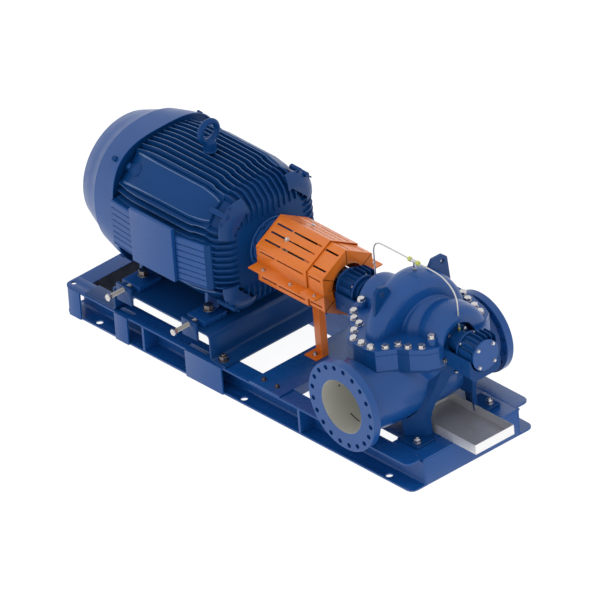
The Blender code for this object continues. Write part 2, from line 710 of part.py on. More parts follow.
def spiral_loft(profile, radii, turn0, turn1, steps, inner):
    """Sweeps a profile of (x, share of the radius) about the shaft while the radius grows."""
    loops = []
    for i in range(steps + 1):
        part = i / steps
        turn = turn0 + (turn1 - turn0) * part
        radius = radii[0] + (radii[1] - radii[0]) * part
        section = [(x, share * radius) for x, share in profile]
        section = [(profile[0][0], inner)] + section + [(profile[-1][0], inner)]
        loops.append(
            [(PUMP_X + x, r * math.cos(turn), SHAFT_Z + r * math.sin(turn)) for x, r in section]
        )
    return loft(loops)


def split_outline():
    points = [(-x, y) for x, y in NEAR_OUTLINE] + list(reversed(NEAR_OUTLINE))
    points += list(reversed(FAR_OUTLINE)) + [(-x, y) for x, y in FAR_OUTLINE]
    return [(PUMP_X + x, y) for x, y in points]


def mirror_profile(profile):
    return [(-x, share) for x, share in reversed(profile)]


def shaft_bore(x0, x1, shaft_radius):
    return turned([(x0, shaft_radius + GAP), (x1, shaft_radius + GAP)], ROUND)


def build_upper_casing(blue):
    split = SHAFT_Z + GAP
    flange = prism(split_outline(), "Z", split, SHAFT_Z + SPLIT_FLANGE_TOP)
    turns = (-OVERRUN, math.pi + OVERRUN)
    joins = [spiral_loft(VOLUTE_PROFILE, (VOLUTE_FAR, VOLUTE_NEAR), *turns, 14, SPIRAL_CORE)]
    for profile in (CHAMBER_PROFILE, mirror_profile(CHAMBER_PROFILE)):
        joins.append(spiral_loft(profile, CHAMBER_RADII, *turns, 12, CHAMBER_CORE))
    half = LUG_THICK / 2
    for side in (-1, 1):
        lug = [(side * y, z) for y, z in LUG_OUTLINE]
        joins.append(prism(lug, "X", PUMP_X - half, PUMP_X + half))
    cuts = [block(*CUT_X, *CUT_Y, SHAFT_Z - 0.5, split), shaft_bore(*CUT_X, PUMP_SHAFT_RADIUS)]
    hole = [(PUMP_X + side * LUG_THICK, LUG_HOLE_RADIUS) for side in (-1, 1)]
    for y in LUG_HOLE_Y:
        cuts.append(turned(hole, 12, center=(y, LUG_HOLE_Z)))
    solid("upper_casing", flange, blue, joins, cuts)


def casing_body():
    """The lower casing's body, lofted along Y from the suction neck to the discharge neck."""
    loops = []
    for y, z, half_x, half_z, power in BODY_STATIONS:
        loop = [(PUMP_X + a, y, z + b - SHAFT_Z) for a, b in squircle(half_x, half_z, power, 28)]
        loops.append(loop)
    return loft(loops)


def casing_shoulders():
    """The sides that draw in from the split flange down to the nozzles' body."""
    loops = []
    for z, share in SHOULDERS:
        loops.append([(PUMP_X + (x - PUMP_X) * share, y * share, z) for x, y in split_outline()])
    return loft(loops)


def flange_disc(face, thick, radius, direction):
    low = radius - FLANGE_RIM
    back = face + direction * thick
    profile = [
        (face, low), (face + direction * FLANGE_RIM, radius), (back - direction * FLANGE_RIM, radius),
        (back, low),
    ]
    return turned(profile, 48, center=(PUMP_X, NOZZLE_Z), axis="Y")


def flange_holes(circle_radius, count, y0, y1):
    places = circle(circle_radius, count, (PUMP_X, NOZZLE_Z), turn=math.pi / count)
    return [cylinder_y(x, z, FLANGE_BOLT_HOLE, y0, y1, 8) for x, z in places]


def pump_leg(side_x, side_y):
    """A foot pad and the leg that slants from it up to the casing."""
    foot_z = RAIL_HEIGHT + GAP
    x, y = PUMP_X + side_x * PUMP_FOOT_X, side_y * PUMP_FOOT_Y
    low_z = foot_z + PAD_THICK / 2
    pad = block(
        x - PAD_HALF_LENGTH, x + PAD_HALF_LENGTH, y - PAD_HALF_WIDTH, y + PAD_HALF_WIDTH, foot_z,
        foot_z + PAD_THICK,
    )
    inner, outer = y - side_y * LEG_FOOT_Y[0], y + side_y * LEG_FOOT_Y[1]
    near_x, far_x = x - side_x * LEG_HALF_WIDTH, x + side_x * LEG_HALF_WIDTH
    low = [(near_x, inner, low_z), (far_x, inner, low_z), (far_x, outer, low_z), (near_x, outer, low_z)]
    inner, outer = side_y * LEG_TOP_Y[0], side_y * LEG_TOP_Y[1]
    near_x, far_x = (PUMP_X + side_x * reach for reach in LEG_TOP_X)
    top = [
        (near_x, inner, LEG_TOP_Z), (far_x, inner, LEG_TOP_Z), (far_x, outer, LEG_TOP_Z),
        (near_x, outer, LEG_TOP_Z),
    ]
    return [pad, loft([low, top])]


def build_lower_casing(blue):
    body = casing_body()
    joins = [
        prism(split_outline(), "Z", SHAFT_Z - SPLIT_FLANGE_BOTTOM, SHAFT_Z),
        casing_shoulders(),
        spiral_loft(
            VOLUTE_PROFILE, (VOLUTE_NEAR, VOLUTE_END), math.pi - OVERRUN, VOLUTE_END_TURN, 10, SPIRAL_CORE,
        ),
        flange_disc(SUCTION_FACE, SUCTION_THICK, SUCTION_RADIUS, 1),
        flange_disc(DISCHARGE_FACE, DISCHARGE_THICK, DISCHARGE_RADIUS, -1),
    ]
    for side_x in (-1, 1):
        for side_y in (-1, 1):
            joins += pump_leg(side_x, side_y)
    cuts = [block(*CUT_X, *CUT_Y, SHAFT_Z, SHAFT_Z + 0.5)]
    cuts.append(turned(SUCTION_PASSAGE, 40, center=(PUMP_X, NOZZLE_Z), axis="Y"))
    cuts.append(turned(DISCHARGE_PASSAGE, 36, center=(PUMP_X, NOZZLE_Z), axis="Y"))
    cuts += flange_holes(SUCTION_BOLT_CIRCLE, SUCTION_BOLTS, SUCTION_FACE - 0.02, SUCTION_FACE + 0.07)
    cuts += flange_holes(DISCHARGE_BOLT_CIRCLE, DISCHARGE_BOLTS, DISCHARGE_FACE - 0.07, DISCHARGE_FACE + 0.02)
    cuts.append(shaft_bore(*CUT_X, PUMP_SHAFT_RADIUS))
    solid("lower_casing", body, blue, joins, cuts)


def build_bearing_end(name, side, blue):
    """Gland, bracket, housing and cap of one end; side is -1 at the drive end."""
    bore = PUMP_SHAFT_RADIUS + GAP

    def at(distance):
        return PUMP_X + side * distance

    gland = [
        (at(GLAND_X[0]), GLAND_RADIUS), (at(GLAND_X[1]), GLAND_RADIUS), (at(GLAND_X[1]), GLAND_NOSE_RADIUS),
        (at(GLAND_X[2]), GLAND_NOSE_RADIUS),
    ]
    solid(f"seal_gland_{name}", turned(gland, ROUND, bore=bore), blue)
    start, end = (at(distance) for distance in HOUSING_FLANGE_X)
    housing = [
        (at(HOUSING_X[0]), HOUSING_SPIGOT_RADIUS), (start, HOUSING_FLANGE_RADIUS),
        (end, HOUSING_FLANGE_RADIUS), (end, HOUSING_RADIUS), (at(HOUSING_X[1]), HOUSING_RADIUS),
    ]
    fins = [housing_fin(side, turn) for turn in HOUSING_FIN_TURNS]
    solid(f"bearing_housing_{name}", turned(housing, ROUND, bore=bore), blue, fins)
    start, end = at(HOUSING_X[1]) + side * GAP, at(CAP_END)
    heads = []
    for y, z in circle(CAP_BOLT_CIRCLE, CAP_BOLTS, (0.0, SHAFT_Z), turn=math.pi / CAP_BOLTS):
        head = circle(CAP_BOLT_RADIUS, 6, (y, z))
        heads.append(prism(head, "X", end - side * 0.002, end + side * CAP_BOLT_HEAD))
    cap = turned([(start, CAP_RADII[0]), (end, CAP_RADII[1])], ROUND, bore=bore if side < 0 else 0.0)
    solid(f"bearing_cap_{name}", cap, blue, heads)
    build_bracket(name, at, blue)


def housing_fin(side, degrees):
    half = HOUSING_FIN_THICK / 2
    fin = block(*HOUSING_FIN_X, -half, half, HOUSING_RADIUS - 0.018, HOUSING_FIN_REACH)
    spin = Matrix.Rotation(math.radians(degrees - 90), 4, "X")
    move = Matrix.Translation((PUMP_X, 0, SHAFT_Z)) @ Matrix.Diagonal((side, 1, 1, 1)) @ spin
    bmesh.ops.transform(fin, matrix=move, verts=fin.verts)
    bmesh.ops.recalc_face_normals(fin, faces=fin.faces)
    return fin


def build_bracket(name, at, blue):
    """The cradle under the bearing housing, a half trough that stands off the lower casing."""
    inner_radius = (HOUSING_FLANGE_RADIUS + GAP) / math.cos(math.radians(BRACKET_STEP / 2))
    turns = [math.radians(degrees) for degrees in range(180, 361, BRACKET_STEP)]
    outer = [(BRACKET_RADIUS * math.cos(a), SHAFT_Z + BRACKET_RADIUS * math.sin(a)) for a in turns]
    inner = [(inner_radius * math.cos(a), SHAFT_Z + inner_radius * math.sin(a)) for a in reversed(turns)]
    trough = prism(outer + inner, "X", *(at(distance) for distance in BRACKET_X))
    solid(f"bearing_bracket_{name}", trough, blue)


def build_pump(blue, steel, silver, brass):
    build_upper_casing(blue)
    build_lower_casing(blue)
    build_bearing_end("drive_end", -1, blue)
    build_bearing_end("free_end", 1, blue)
    solid("pump_shaft", turned([(x, PUMP_SHAFT_RADIUS) for x in PUMP_SHAFT_X], ROUND), steel)
    ends = [(PUMP_X + side * TEE_HALF_LENGTH, TEE_RADIUS) for side in (-1, 1)]
    dome_top = SHAFT_Z + (VOLUTE_FAR + VOLUTE_NEAR) / 2
    stem = prism(circle(TEE_RADIUS, 12, (PUMP_X, 0.0)), "Z", dome_top + GAP, FLUSH_TOP)
    solid("flush_tee", turned(ends, 12, center=(0.0, FLUSH_TOP)), brass, [stem])
    build_flush_tube("drive_end", -1, silver)
    build_flush_tube("free_end", 1, silver)


def build_flush_tube(name, side, silver):
    """The tube from the tee on the casing's crown down to one seal gland."""
    start = PUMP_X + side * (TEE_HALF_LENGTH + GAP)
    far = PUMP_X + side * FLUSH_DISTANCE
    corners = [
        Vector((start, 0.0, FLUSH_TOP)), Vector((far, 0.0, FLUSH_TOP)), Vector((far, 0.0, FLUSH_BOTTOM)),
    ]
    curve = bpy.data.curves.new(f"flush_tube_{name}", "CURVE")
    curve.dimensions = "3D"
    curve.bevel_depth = FLUSH_RADIUS
    curve.bevel_resolution = 2
    curve.use_fill_caps = True
    points = rounded(corners, FLUSH_BEND, 6)
    spline = curve.splines.new("POLY")
    spline.points.add(len(points) - 1)
    for point, place in zip(spline.points, points):
        point.co = (*place, 1.0)
    curve.materials.append(silver)
    obj = bpy.data.objects.new(f"flush_tube_{name}", curve)
    obj.parent = bpy.data.objects["set_datum"]
    bpy.context.scene.collection.objects.link(obj)


def build_tray(silver):
    x0, x1 = TRAY_X
    y0, y1 = TRAY_Y
    z0 = RAIL_HEIGHT + GAP
    body = block(x0, x1, y0, y1, z0, z0 + TRAY_HEIGHT)
    inside = block(
        x0 + TRAY_SHEET, x1 - TRAY_SHEET, y0 + TRAY_SHEET, y1 - TRAY_SHEET, z0 + TRAY_SHEET, z0 + 0.2
    )
    solid("drip_tray", body, silver, (), [inside])


def main():
    clear_scene()
    datum = bpy.data.objects.new("set_datum", None)
    datum.location = DATUM
    bpy.context.scene.collection.objects.link(datum)
    blue = make_material("blue_paint", (0.05, 0.12, 0.33), 0.0, 0.4)
    orange = make_material("orange_paint", (0.75, 0.22, 0.06), 0.0, 0.45)
    steel = make_material("bright_steel", (0.55, 0.53, 0.50), 1.0, 0.3)
    silver = make_material("stainless_sheet", (0.60, 0.60, 0.60), 1.0, 0.35)
    brass = make_material("plated_fitting", (0.60, 0.62, 0.15), 0.8, 0.35)
    build_base(blue)
    build_table(blue)
    build_jack_bolts(steel)
    build_motor(blue, steel)
    build_guard(orange, steel)
    build_pump(blue, steel, silver, brass)
    build_tray(silver)


main()
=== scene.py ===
"""Looks of a horizontal split case pump set: motor, coupling guard, pump and steel base.

Shapes are written in layout coordinates, in metres: X along the shaft from motor to pump with X = 0 at the
pump end of the base, Y = 0 in the shaft's plane, and Z up from the ground. place() moves them into the row
frame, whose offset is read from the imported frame.
"""

from math import copysign, cos, pi, radians, sin, sqrt

import bmesh
import bpy
from mathutils import Matrix, Vector


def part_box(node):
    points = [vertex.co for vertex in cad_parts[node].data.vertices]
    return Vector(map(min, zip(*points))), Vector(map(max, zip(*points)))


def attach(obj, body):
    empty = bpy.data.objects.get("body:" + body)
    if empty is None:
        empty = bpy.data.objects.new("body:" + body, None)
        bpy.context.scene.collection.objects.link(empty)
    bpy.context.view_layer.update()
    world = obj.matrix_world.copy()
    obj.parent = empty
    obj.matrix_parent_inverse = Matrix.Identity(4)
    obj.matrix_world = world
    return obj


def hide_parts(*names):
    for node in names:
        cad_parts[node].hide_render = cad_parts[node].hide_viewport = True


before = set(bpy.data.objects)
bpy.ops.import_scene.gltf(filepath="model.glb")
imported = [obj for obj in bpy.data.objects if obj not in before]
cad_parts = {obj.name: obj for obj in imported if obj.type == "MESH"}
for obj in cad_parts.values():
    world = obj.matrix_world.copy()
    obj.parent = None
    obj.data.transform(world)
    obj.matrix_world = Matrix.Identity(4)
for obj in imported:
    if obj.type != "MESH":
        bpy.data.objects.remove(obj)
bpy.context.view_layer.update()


def middle(node):
    low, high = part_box(node)
    return (low + high) / 2


ORIGIN = Vector((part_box("base_pump_end_plate")[1].x, middle("pump_shaft").y, 0.0))
SHAFT_Z = middle("pump_shaft").z
PUMP_X = middle("flush_tee").x - ORIGIN.x
MOTOR_X = middle("lifting_eye").x - ORIGIN.x
RAIL_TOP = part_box("base_rail_near")[1].z
TABLE_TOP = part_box("motor_table")[1].z
PLATE = 0.012
PLATE_TOP = RAIL_TOP + PLATE
END_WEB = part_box("base_motor_end_channel")[1].x - ORIGIN.x
# The four combinations of two opposite ways
CORNERS = [(a, b) for a in (-1, 1) for b in (-1, 1)]

# Motor
FRAME_CORE = 0.358
FRAME_STATIONS = (
    (-2.615, 0.4065), (-2.557, 0.417), (-2.499, 0.426), (-2.395, 0.433), (-1.986, 0.433), (-1.918, 0.416),
    (-1.8383, 0.402),
)
FRAME_POWER = 2.65
FIN_PITCH = 0.0425
FIN_ROOT = 0.0065
FIN_TIP = 0.0038
FIN_PLACES = [FIN_PITCH * i for i in range(-5, 6)]
# (X, half width, distance of the edge and of the ridge from the shaft's axis)
PANEL_STATIONS = (
    (-2.59, 0.086, 0.404, 0.412), (-2.584, 0.093, 0.42, 0.426), (-2.55, 0.0935, 0.436, 0.439),
    (-2.48, 0.0925, 0.449, 0.455), (-2.395, 0.0912, 0.452, 0.461), (-1.986, 0.0912, 0.452, 0.461),
    (-1.918, 0.082, 0.441, 0.449), (-1.87, 0.071, 0.43, 0.437), (-1.846, 0.061, 0.4215, 0.427),
    (-1.841, 0.055, 0.413, 0.418),
)
SHIELD_BACK = -1.838
SHIELD_FACE = -1.69
# (X, reach) of the drive end ribs' outer line
SHIELD_LINE = (
    (SHIELD_BACK, 0.401), (-1.8, 0.398), (-1.772, 0.3945), (-1.764, 0.391), (-1.75, 0.382), (-1.728, 0.36),
    (-1.705, 0.336), (-1.697, 0.322), (-1.692, 0.308), (SHIELD_FACE, 0.295),
)
SHIELD_POWER = 3.1
SHIELD_BODY_POWER = 2.5
RIB_DEPTH = 0.02
RIB_HALF = 0.0048
# Where the ribs end on the face: above and below, and at the sides
RIB_INNER = (0.2, 0.262)
# (X, half width, reach) of the drive end's corner lugs
CORNER_LUG_STATIONS = (
    (-1.745, 0.134, 0.449), (-1.741, 0.14, 0.456), (-1.73, 0.14, 0.455), (-1.712, 0.13, 0.438),
    (-1.697, 0.112, 0.412), (-1.688, 0.092, 0.385),
)
# (X, reach, power of the rounded square) along the fan cover's outside, then back along its inside
FAN_COVER = (
    (-2.992, 0.315, 2.0), (-2.99, 0.332, 2.0), (-2.984, 0.346, 2.0), (-2.976, 0.356, 2.0),
    (-2.968, 0.3625, 2.0), (-2.88, 0.3935, 2.1), (-2.806, 0.4175, 2.2), (-2.802, 0.4195, 2.25),
    (-2.799, 0.4235, 2.3), (-2.71, 0.428, 2.7), (-2.6203, 0.432, 3.1),
)
FAN_COVER_INSIDE = (
    (-2.6203, 0.425, 3.1), (-2.71, 0.421, 2.7), (-2.799, 0.4155, 2.3), (-2.806, 0.41, 2.2),
    (-2.88, 0.386, 2.1), (-2.96, 0.357, 2.0), (-2.982, 0.338, 2.0), (-2.984, 0.312, 2.0),
)
LOUVRE_Z = (0.643, 0.949)
LOUVRE_GAPS = (0.658, 0.7005, 0.738, 0.777, 0.818, 0.861, 0.904)
# (X, distance of the face from the shaft's plane) along each louvre block
LOUVRE_BLOCKS = (((-2.617, 0.4525), (-2.401, 0.471)), ((-2.023, 0.471), (-1.816, 0.429)))
LOUVRE_FACE = 0.471
LOUVRE_DEPTH = -0.3
LOUVRE_END = ((-1.816, -0.4285), (-1.788, -0.401), (-1.788, -0.36), (-1.816, -0.36))
FOOT_OFFSET = 0.2893
FOOT_BOLT_SHIFT = 0.043
EYE_SHIFT = 0.02
FOOT_TOP = TABLE_TOP + 0.0363
JACK_Z = 0.3895
# Y where a jacking screw starts, its pitch, and where the near and the far screws end
JACK_START = 0.443
JACK_PITCH = 0.004
JACK_END = {-1: 0.606, 1: 0.592}

# Guard
GUARD_TURN = pi / 6
EAR_TOP = SHAFT_Z + 0.0045
GUARD_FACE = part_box("guard_sleeve_upper")[1].x - ORIGIN.x
WIDE_SLOT = 0.012
# Node, radius of its hexagon, then (start, end, place on the slope) of its wider slots
WIDE_SLOTS = (
    ("guard_cover_upper", 0.241, (
        (-1.568, -1.432, -0.062), (-1.418, -1.176, -0.062), (-1.568, -1.432, 0.0),
        (-1.568, -1.432, 0.062), (-1.418, -1.176, 0.062),
    )),
    ("guard_sleeve_upper", 0.229, ((-1.148, -1.036, -0.062), (-1.148, -1.036, 0.062))),
)
SEAM_REACH = (0.129, 0.225)

# Pump
NOZZLE_Z = 0.507
SHAFT_HOLE = 0.0423
SPLIT_FLANGE_TOP = 0.033
SPLIT_FLANGE_BOTTOM = 0.108
SUCTION_FACE = -0.636
DISCHARGE_FACE = 0.51
NEAR_OUTLINE = (
    (0.368, -0.104), (0.377, -0.104), (0.377, -0.165), (0.342, -0.236), (0.266, -0.303), (0.2, -0.34),
    (0.126, -0.45), (0.05, -0.468),
)
# Upright facets whose normal's X is less than this get the darker blue, a painted shade
LIT_FACING = 0.58
FAR_OUTLINE = (
    (0.05, 0.372), (0.13, 0.352), (0.23, 0.33), (0.31, 0.3), (0.345, 0.25), (0.395, 0.2),
    (0.412, 0.15), (0.412, 0.104), (0.374, 0.104),
)
VOLUTE_RADII = (0.285, 0.391, 0.46)
# Half widths of the volute at the far side, the near side and the near side's end
VOLUTE_WIDTHS = (0.165, 0.07, 0.11)
# (share of the half width, share of the radius) across the volute
VOLUTE_PROFILE = (
    (-1.0, 0.66), (-0.98, 0.78), (-0.91, 0.865), (-0.78, 0.93), (-0.59, 0.966), (-0.35, 0.99),
    (0.0, 1.0), (0.35, 0.99), (0.59, 0.966), (0.78, 0.93), (0.91, 0.865), (0.98, 0.78), (1.0, 0.66),
)
# (distance from the pump's middle, radius on the far side, radius on the near side) at each end
CHAMBERS = {
    1: (
        (0.04, 0.215, 0.19), (0.085, 0.215, 0.19), (0.12, 0.212, 0.187), (0.14, 0.205, 0.178),
        (0.16, 0.2, 0.16), (0.178, 0.215, 0.15), (0.2, 0.24, 0.146), (0.23, 0.255, 0.144),
        (0.28, 0.257, 0.143), (0.327, 0.25, 0.142), (0.35, 0.238, 0.141), (0.364, 0.22, 0.138),
        (0.372, 0.198, 0.134), (0.377, 0.17, 0.128),
    ),
    -1: (
        (0.04, 0.215, 0.19), (0.085, 0.215, 0.19), (0.12, 0.212, 0.187), (0.14, 0.2, 0.178),
        (0.16, 0.185, 0.16), (0.18, 0.182, 0.15), (0.21, 0.186, 0.146), (0.28, 0.188, 0.143),
        (0.327, 0.187, 0.142), (0.35, 0.183, 0.141), (0.364, 0.176, 0.138), (0.372, 0.168, 0.134),
        (0.377, 0.155, 0.128),
    ),
}
RECESS = 0.124
RECESS_DEPTH = 0.075
# (Y, height of the axis, half width, half height, power) from nozzle to nozzle
BODY_STATIONS = (
    (-0.6, 0.507, 0.213, 0.213, 2.0), (-0.53, 0.507, 0.222, 0.222, 2.0), (-0.45, 0.51, 0.23, 0.229, 2.05),
    (-0.38, 0.52, 0.242, 0.24, 2.15), (-0.28, 0.538, 0.25, 0.256, 2.25), (-0.1, 0.548, 0.262, 0.264, 2.3),
    (0.06, 0.545, 0.265, 0.26, 2.3), (0.2, 0.53, 0.235, 0.235, 2.2), (0.33, 0.512, 0.195, 0.2, 2.05),
    (0.41, 0.507, 0.185, 0.185, 2.0), (0.48, 0.507, 0.182, 0.182, 2.0),
)
# (Z, share of the split flange's length and of its width) of the casing's sides below the flange
SHOULDERS = (
    (0.7, 0.94, 0.8), (0.62, 0.84, 0.74), (0.55, 0.74, 0.66), (0.45, 0.62, 0.58), (0.36, 0.5, 0.5),
)
# (Z, then front left, front right, back right and back left corners) of the near leg at the free end
LEG_SECTIONS = (
    (0.2, (0.14, 0.29), (0.252, 0.206), (0.262, 0.165), (0.15, 0.2)),
    (0.31, (0.128, 0.3), (0.246, 0.202), (0.254, 0.162), (0.14, 0.2)),
    (0.325, (0.165, 0.262), (0.25, 0.202), (0.258, 0.16), (0.17, 0.15)),
    (0.36, (0.198, 0.232), (0.258, 0.202), (0.266, 0.16), (0.19, 0.12)),
    (0.45, (0.214, 0.219), (0.284, 0.184), (0.296, 0.14), (0.2, 0.1)),
    (0.5, (0.23, 0.195), (0.292, 0.168), (0.316, 0.112), (0.216, 0.05)),
    (0.66, (0.268, 0.142), (0.338, 0.122), (0.382, 0.06), (0.25, 0.0)),
    (0.69, (0.275, 0.136), (0.346, 0.116), (0.39, 0.05), (0.256, 0.0)),
)
PUMP_FOOT = (0.261, 0.305)
PUMP_FOOT_BOLT = (0.256, 0.289)
# (Y, radius) along the suction and the discharge bore, from the wall to the blind end
SUCTION_BORE = ((-0.35, 0.1755), (-0.28, 0.15), (-0.24, 0.09))
DISCHARGE_BORE = ((0.22, 0.1525), (0.16, 0.11))
FLANGE_HOLE = 0.0165

# (Y, Z) round the near and the far lifting lug
LUG_OUTLINES = (
    ((-0.17, 1.02), (-0.19, 1.11), (-0.2155, 1.155), (-0.281, 1.171), (-0.315, 1.142), (-0.331, 0.98)),
    ((0.1, 1.02), (0.115, 1.125), (0.148, 1.172), (0.229, 1.171), (0.263, 1.142), (0.275, 0.98)),
)
LUG_HOLES = ((-0.263, 1.121), (0.222, 1.125))
# Bolts of the split flange, as (distance from the pump's middle, Y)
SPLIT_BOLTS = (
    (0.3, -0.231), (0.238, -0.284), (0.172, -0.303), (0.138, -0.375), (0.076, -0.436),
    (0.04, 0.334), (0.113, 0.307), (0.196, 0.286), (0.273, 0.263), (0.27, 0.226),
)
FLUSH_Y = 0.0145
FLUSH_Z = 1.221
# (distance from the pump's middle, Z) along the two flush tubes
FLUSH_PATHS = {
    -1: (
        (0.04, 1.221), (0.16, 1.221), (0.28, 1.22), (0.32, 1.213), (0.347, 1.194), (0.362, 1.165),
        (0.367, 1.13), (0.367, 1.02), (0.367, 0.905),
    ),
    1: (
        (0.04, 1.221), (0.12, 1.221), (0.2, 1.218), (0.26, 1.206), (0.31, 1.18), (0.345, 1.145),
        (0.363, 1.1), (0.367, 1.05), (0.367, 0.905),
    ),
}
# (Y, height above the shaft) of the upright fins on a bearing housing
HOUSING_FINS = (
    (-0.094, 0.045), (-0.072, 0.082), (-0.036, 0.104), (0.0, 0.112), (0.036, 0.112), (0.072, 0.104),
    (0.106, 0.092),
)
HOUSING_FIN_HALF = 0.0035
# (distance, half width, depth of the side, half width and depth of the foot) along a bearing bracket
BRACKET_STATIONS = (
    (0.352, 0.128, 0.088, 0.1, 0.112), (0.42, 0.1265, 0.1, 0.096, 0.124),
    (0.597, 0.121, 0.118, 0.09, 0.152),
)
# Radius of the bracket's seat round the housing, and the steps along it
BRACKET_SEAT = 0.1075
BRACKET_STEPS = 24
# Across the flats, height, and radius of the washer, of the casing's nuts
CASING_NUT = (0.04, 0.02, 0.0245)
# Bolts on raised bosses beside the glands
BOSS_BOLT = (0.312, 0.158)
BOSS_LIFT = 0.04


# Mesh making

def on_axis(axis, along, a, b):
    """The point at a place along an axis, with its other two coordinates in X, Y, Z order."""
    return {"X": (along, a, b), "Y": (a, along, b), "Z": (a, b, along)}[axis]


def skin(loops, wrap=False, caps=True, weld=False):
    """A mesh through loops of equal length; a wrapped one joins its last loop to its first."""
    bm = bmesh.new()
    rings = [[bm.verts.new(point) for point in loop] for loop in loops]
    pairs = list(zip(rings, rings[1:]))
    if wrap:
        pairs.append((rings[-1], rings[0]))
    for lower, upper in pairs:
        for i in range(len(lower)):
            j = (i + 1) % len(lower)
            bm.faces.new((lower[i], lower[j], upper[j], upper[i]))
    if caps:
        bm.faces.new(rings[0])
        bm.faces.new(rings[-1])
    if weld:
        bmesh.ops.remove_doubles(bm, verts=bm.verts, dist=1e-6)
    bmesh.ops.recalc_face_normals(bm, faces=bm.faces)
    return bm


def loft(loops, close=True):
    """A skin through loops of equal length, with flat ends."""
    return skin(loops, caps=close, weld=True)


def block(x0, x1, y0, y1, z0, z1):
    base = ((x0, y0), (x1, y0), (x1, y1), (x0, y1))
    return loft([[(x, y, z) for x, y in base] for z in (z0, z1)])


def prism(outline, axis, start, end):
    """Extrudes an outline along an axis; its points are the other two coordinates in X, Y, Z order."""
    return loft([[on_axis(axis, along, a, b) for a, b in outline] for along in (start, end)])


def circle(radius, count, center=(0.0, 0.0), turn=0.0):
    angles = [turn + 2 * pi * i / count for i in range(count)]
    return [(center[0] + radius * cos(a), center[1] + radius * sin(a)) for a in angles]


def lathe(profile, count, center=(0.0, SHAFT_Z), axis="X", ring=False):
    """A turned solid from (place along the axis, radius) pairs; a ring's profile closes on itself."""
    loops = []
    for along, radius in profile:
        loops.append([on_axis(axis, along, a, b) for a, b in circle(radius, count, center)])
    return skin(loops, wrap=ring, caps=not ring)


def rod(start, end, radius, count, center, axis="Z"):
    return lathe(((start, radius), (end, radius)), count, center, axis)


def turned(profile, count):
    """A turned solid on the origin, along Z, to be moved into place."""
    return lathe(profile, count, (0.0, 0.0), "Z")


def bore(profile, count, ring=False):
    """A turned solid along the nozzles' axis."""
    return lathe(profile, count, (PUMP_X, NOZZLE_Z), "Y", ring)


def torus(x, z, radius, bar, around, across):
    """A ring of round bar that stands across the shaft, about a point over or on its axis."""
    profile = [(x + along, radius + out) for out, along in circle(bar, across)]
    return lathe(profile, around, (0.0, z), ring=True)


def moved(bm, matrix):
    bmesh.ops.transform(bm, matrix=matrix, verts=bm.verts)
    bmesh.ops.recalc_face_normals(bm, faces=bm.faces)
    return bm


def merged(parts):
    """All the given meshes as one."""
    whole = bmesh.new()
    for part in parts:
        mesh = bpy.data.meshes.new("part")
        part.to_mesh(mesh)
        part.free()
        whole.from_mesh(mesh)
        bpy.data.meshes.remove(mesh)
    return whole


def towards(way):
    """The rotation that turns +Z to point a given way."""
    return Vector(way).to_track_quat("Z", "Y").to_matrix().to_4x4()


def at(spot, way, spin=0.0):
    return Matrix.Translation(spot) @ towards(way) @ Matrix.Rotation(spin, 4, "Z")


def round_shaft(angle):
    """Lifts a form that is built round the X axis to the shaft and turns it there."""
    return Matrix.Translation((0, 0, SHAFT_Z)) @ Matrix.Rotation(angle, 4, "X")


def cross_fade(stations, steps):
    """Smoothly interpolated stations, with a number of steps between each pair."""
    padded = [stations[0], *stations, stations[-1]]
    out = []
    for before, here, after, beyond in zip(padded, padded[1:], padded[2:], padded[3:]):
        for t in [k / steps for k in range(steps)]:
            out.append(tuple(
                (2 * t**3 - 3 * t**2 + 1) * b + (t**3 - 2 * t**2 + t) * (c - a) / 2
                + (-2 * t**3 + 3 * t**2) * c + (t**3 - t**2) * (d - b) / 2
                for a, b, c, d in zip(before, here, after, beyond)
            ))
    return out + [tuple(stations[-1])]


def squircle(half_y, half_z, power, count):
    """A rounded square or oval about the shaft's axis, rounder for a lower power."""
    points = []
    for i in range(count):
        angle = 2 * pi * (i + 0.5) / count
        c, s = cos(angle), sin(angle)
        points.append((
            half_y * copysign(abs(c) ** (2 / power), c),
            SHAFT_Z + half_z * copysign(abs(s) ** (2 / power), s),
        ))
    return points


def section_at(x, points):
    """The (Y, Z) points of a section, at a place along the shaft."""
    return [(x, y, z) for y, z in points]


def linked(name, data):
    obj = bpy.data.objects.new(name, data)
    bpy.context.scene.collection.objects.link(obj)
    return obj


def new_object(name, bm):
    """An object from a mesh in layout coordinates."""
    mesh = bpy.data.meshes.new(name)
    bm.to_mesh(mesh)
    bm.free()
    mesh.transform(Matrix.Translation(ORIGIN))
    return linked(name, mesh)


def modify(obj, name, kind, **settings):
    modifier = obj.modifiers.new(name, kind)
    for key, value in settings.items():
        setattr(modifier, key, value)


def ease_edges(obj, width, segments, limit):
    """Rounds the edges that are sharper than a limit in degrees."""
    modify(
        obj, "edges", "BEVEL", width=width, segments=segments, limit_method="ANGLE",
        angle_limit=radians(limit), harden_normals=True,
    )


def place(
    name, form, material, stands_for=(), bevel=0.0, segments=2, angle=35.0, limit=30.0,
):
    """One piece of the object from a mesh, or a list of meshes, in layout coordinates."""
    obj = new_object(name, merged(form) if isinstance(form, list) else form)
    obj.data.materials.append(material)
    obj.data.shade_smooth()
    if bevel:
        ease_edges(obj, bevel, segments, limit)
    else:
        obj.data.set_sharp_from_angle(angle=radians(angle))
    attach(obj, "root")
    if stands_for:
        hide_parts(*stands_for)
    return obj


def dress(node, material, bevel=0.0015, segments=2):
    """A CAD node shown as it is, with joined facets, softened edges and a finish."""
    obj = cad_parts[node]
    obj.data.materials.clear()
    obj.data.materials.append(material)
    obj.data.shade_smooth()
    modify(obj, "weld", "WELD", merge_threshold=1e-5)
    modify(obj, "flat", "DECIMATE", decimate_type="DISSOLVE", angle_limit=radians(1.0))
    ease_edges(obj, bevel, segments, 30.0)


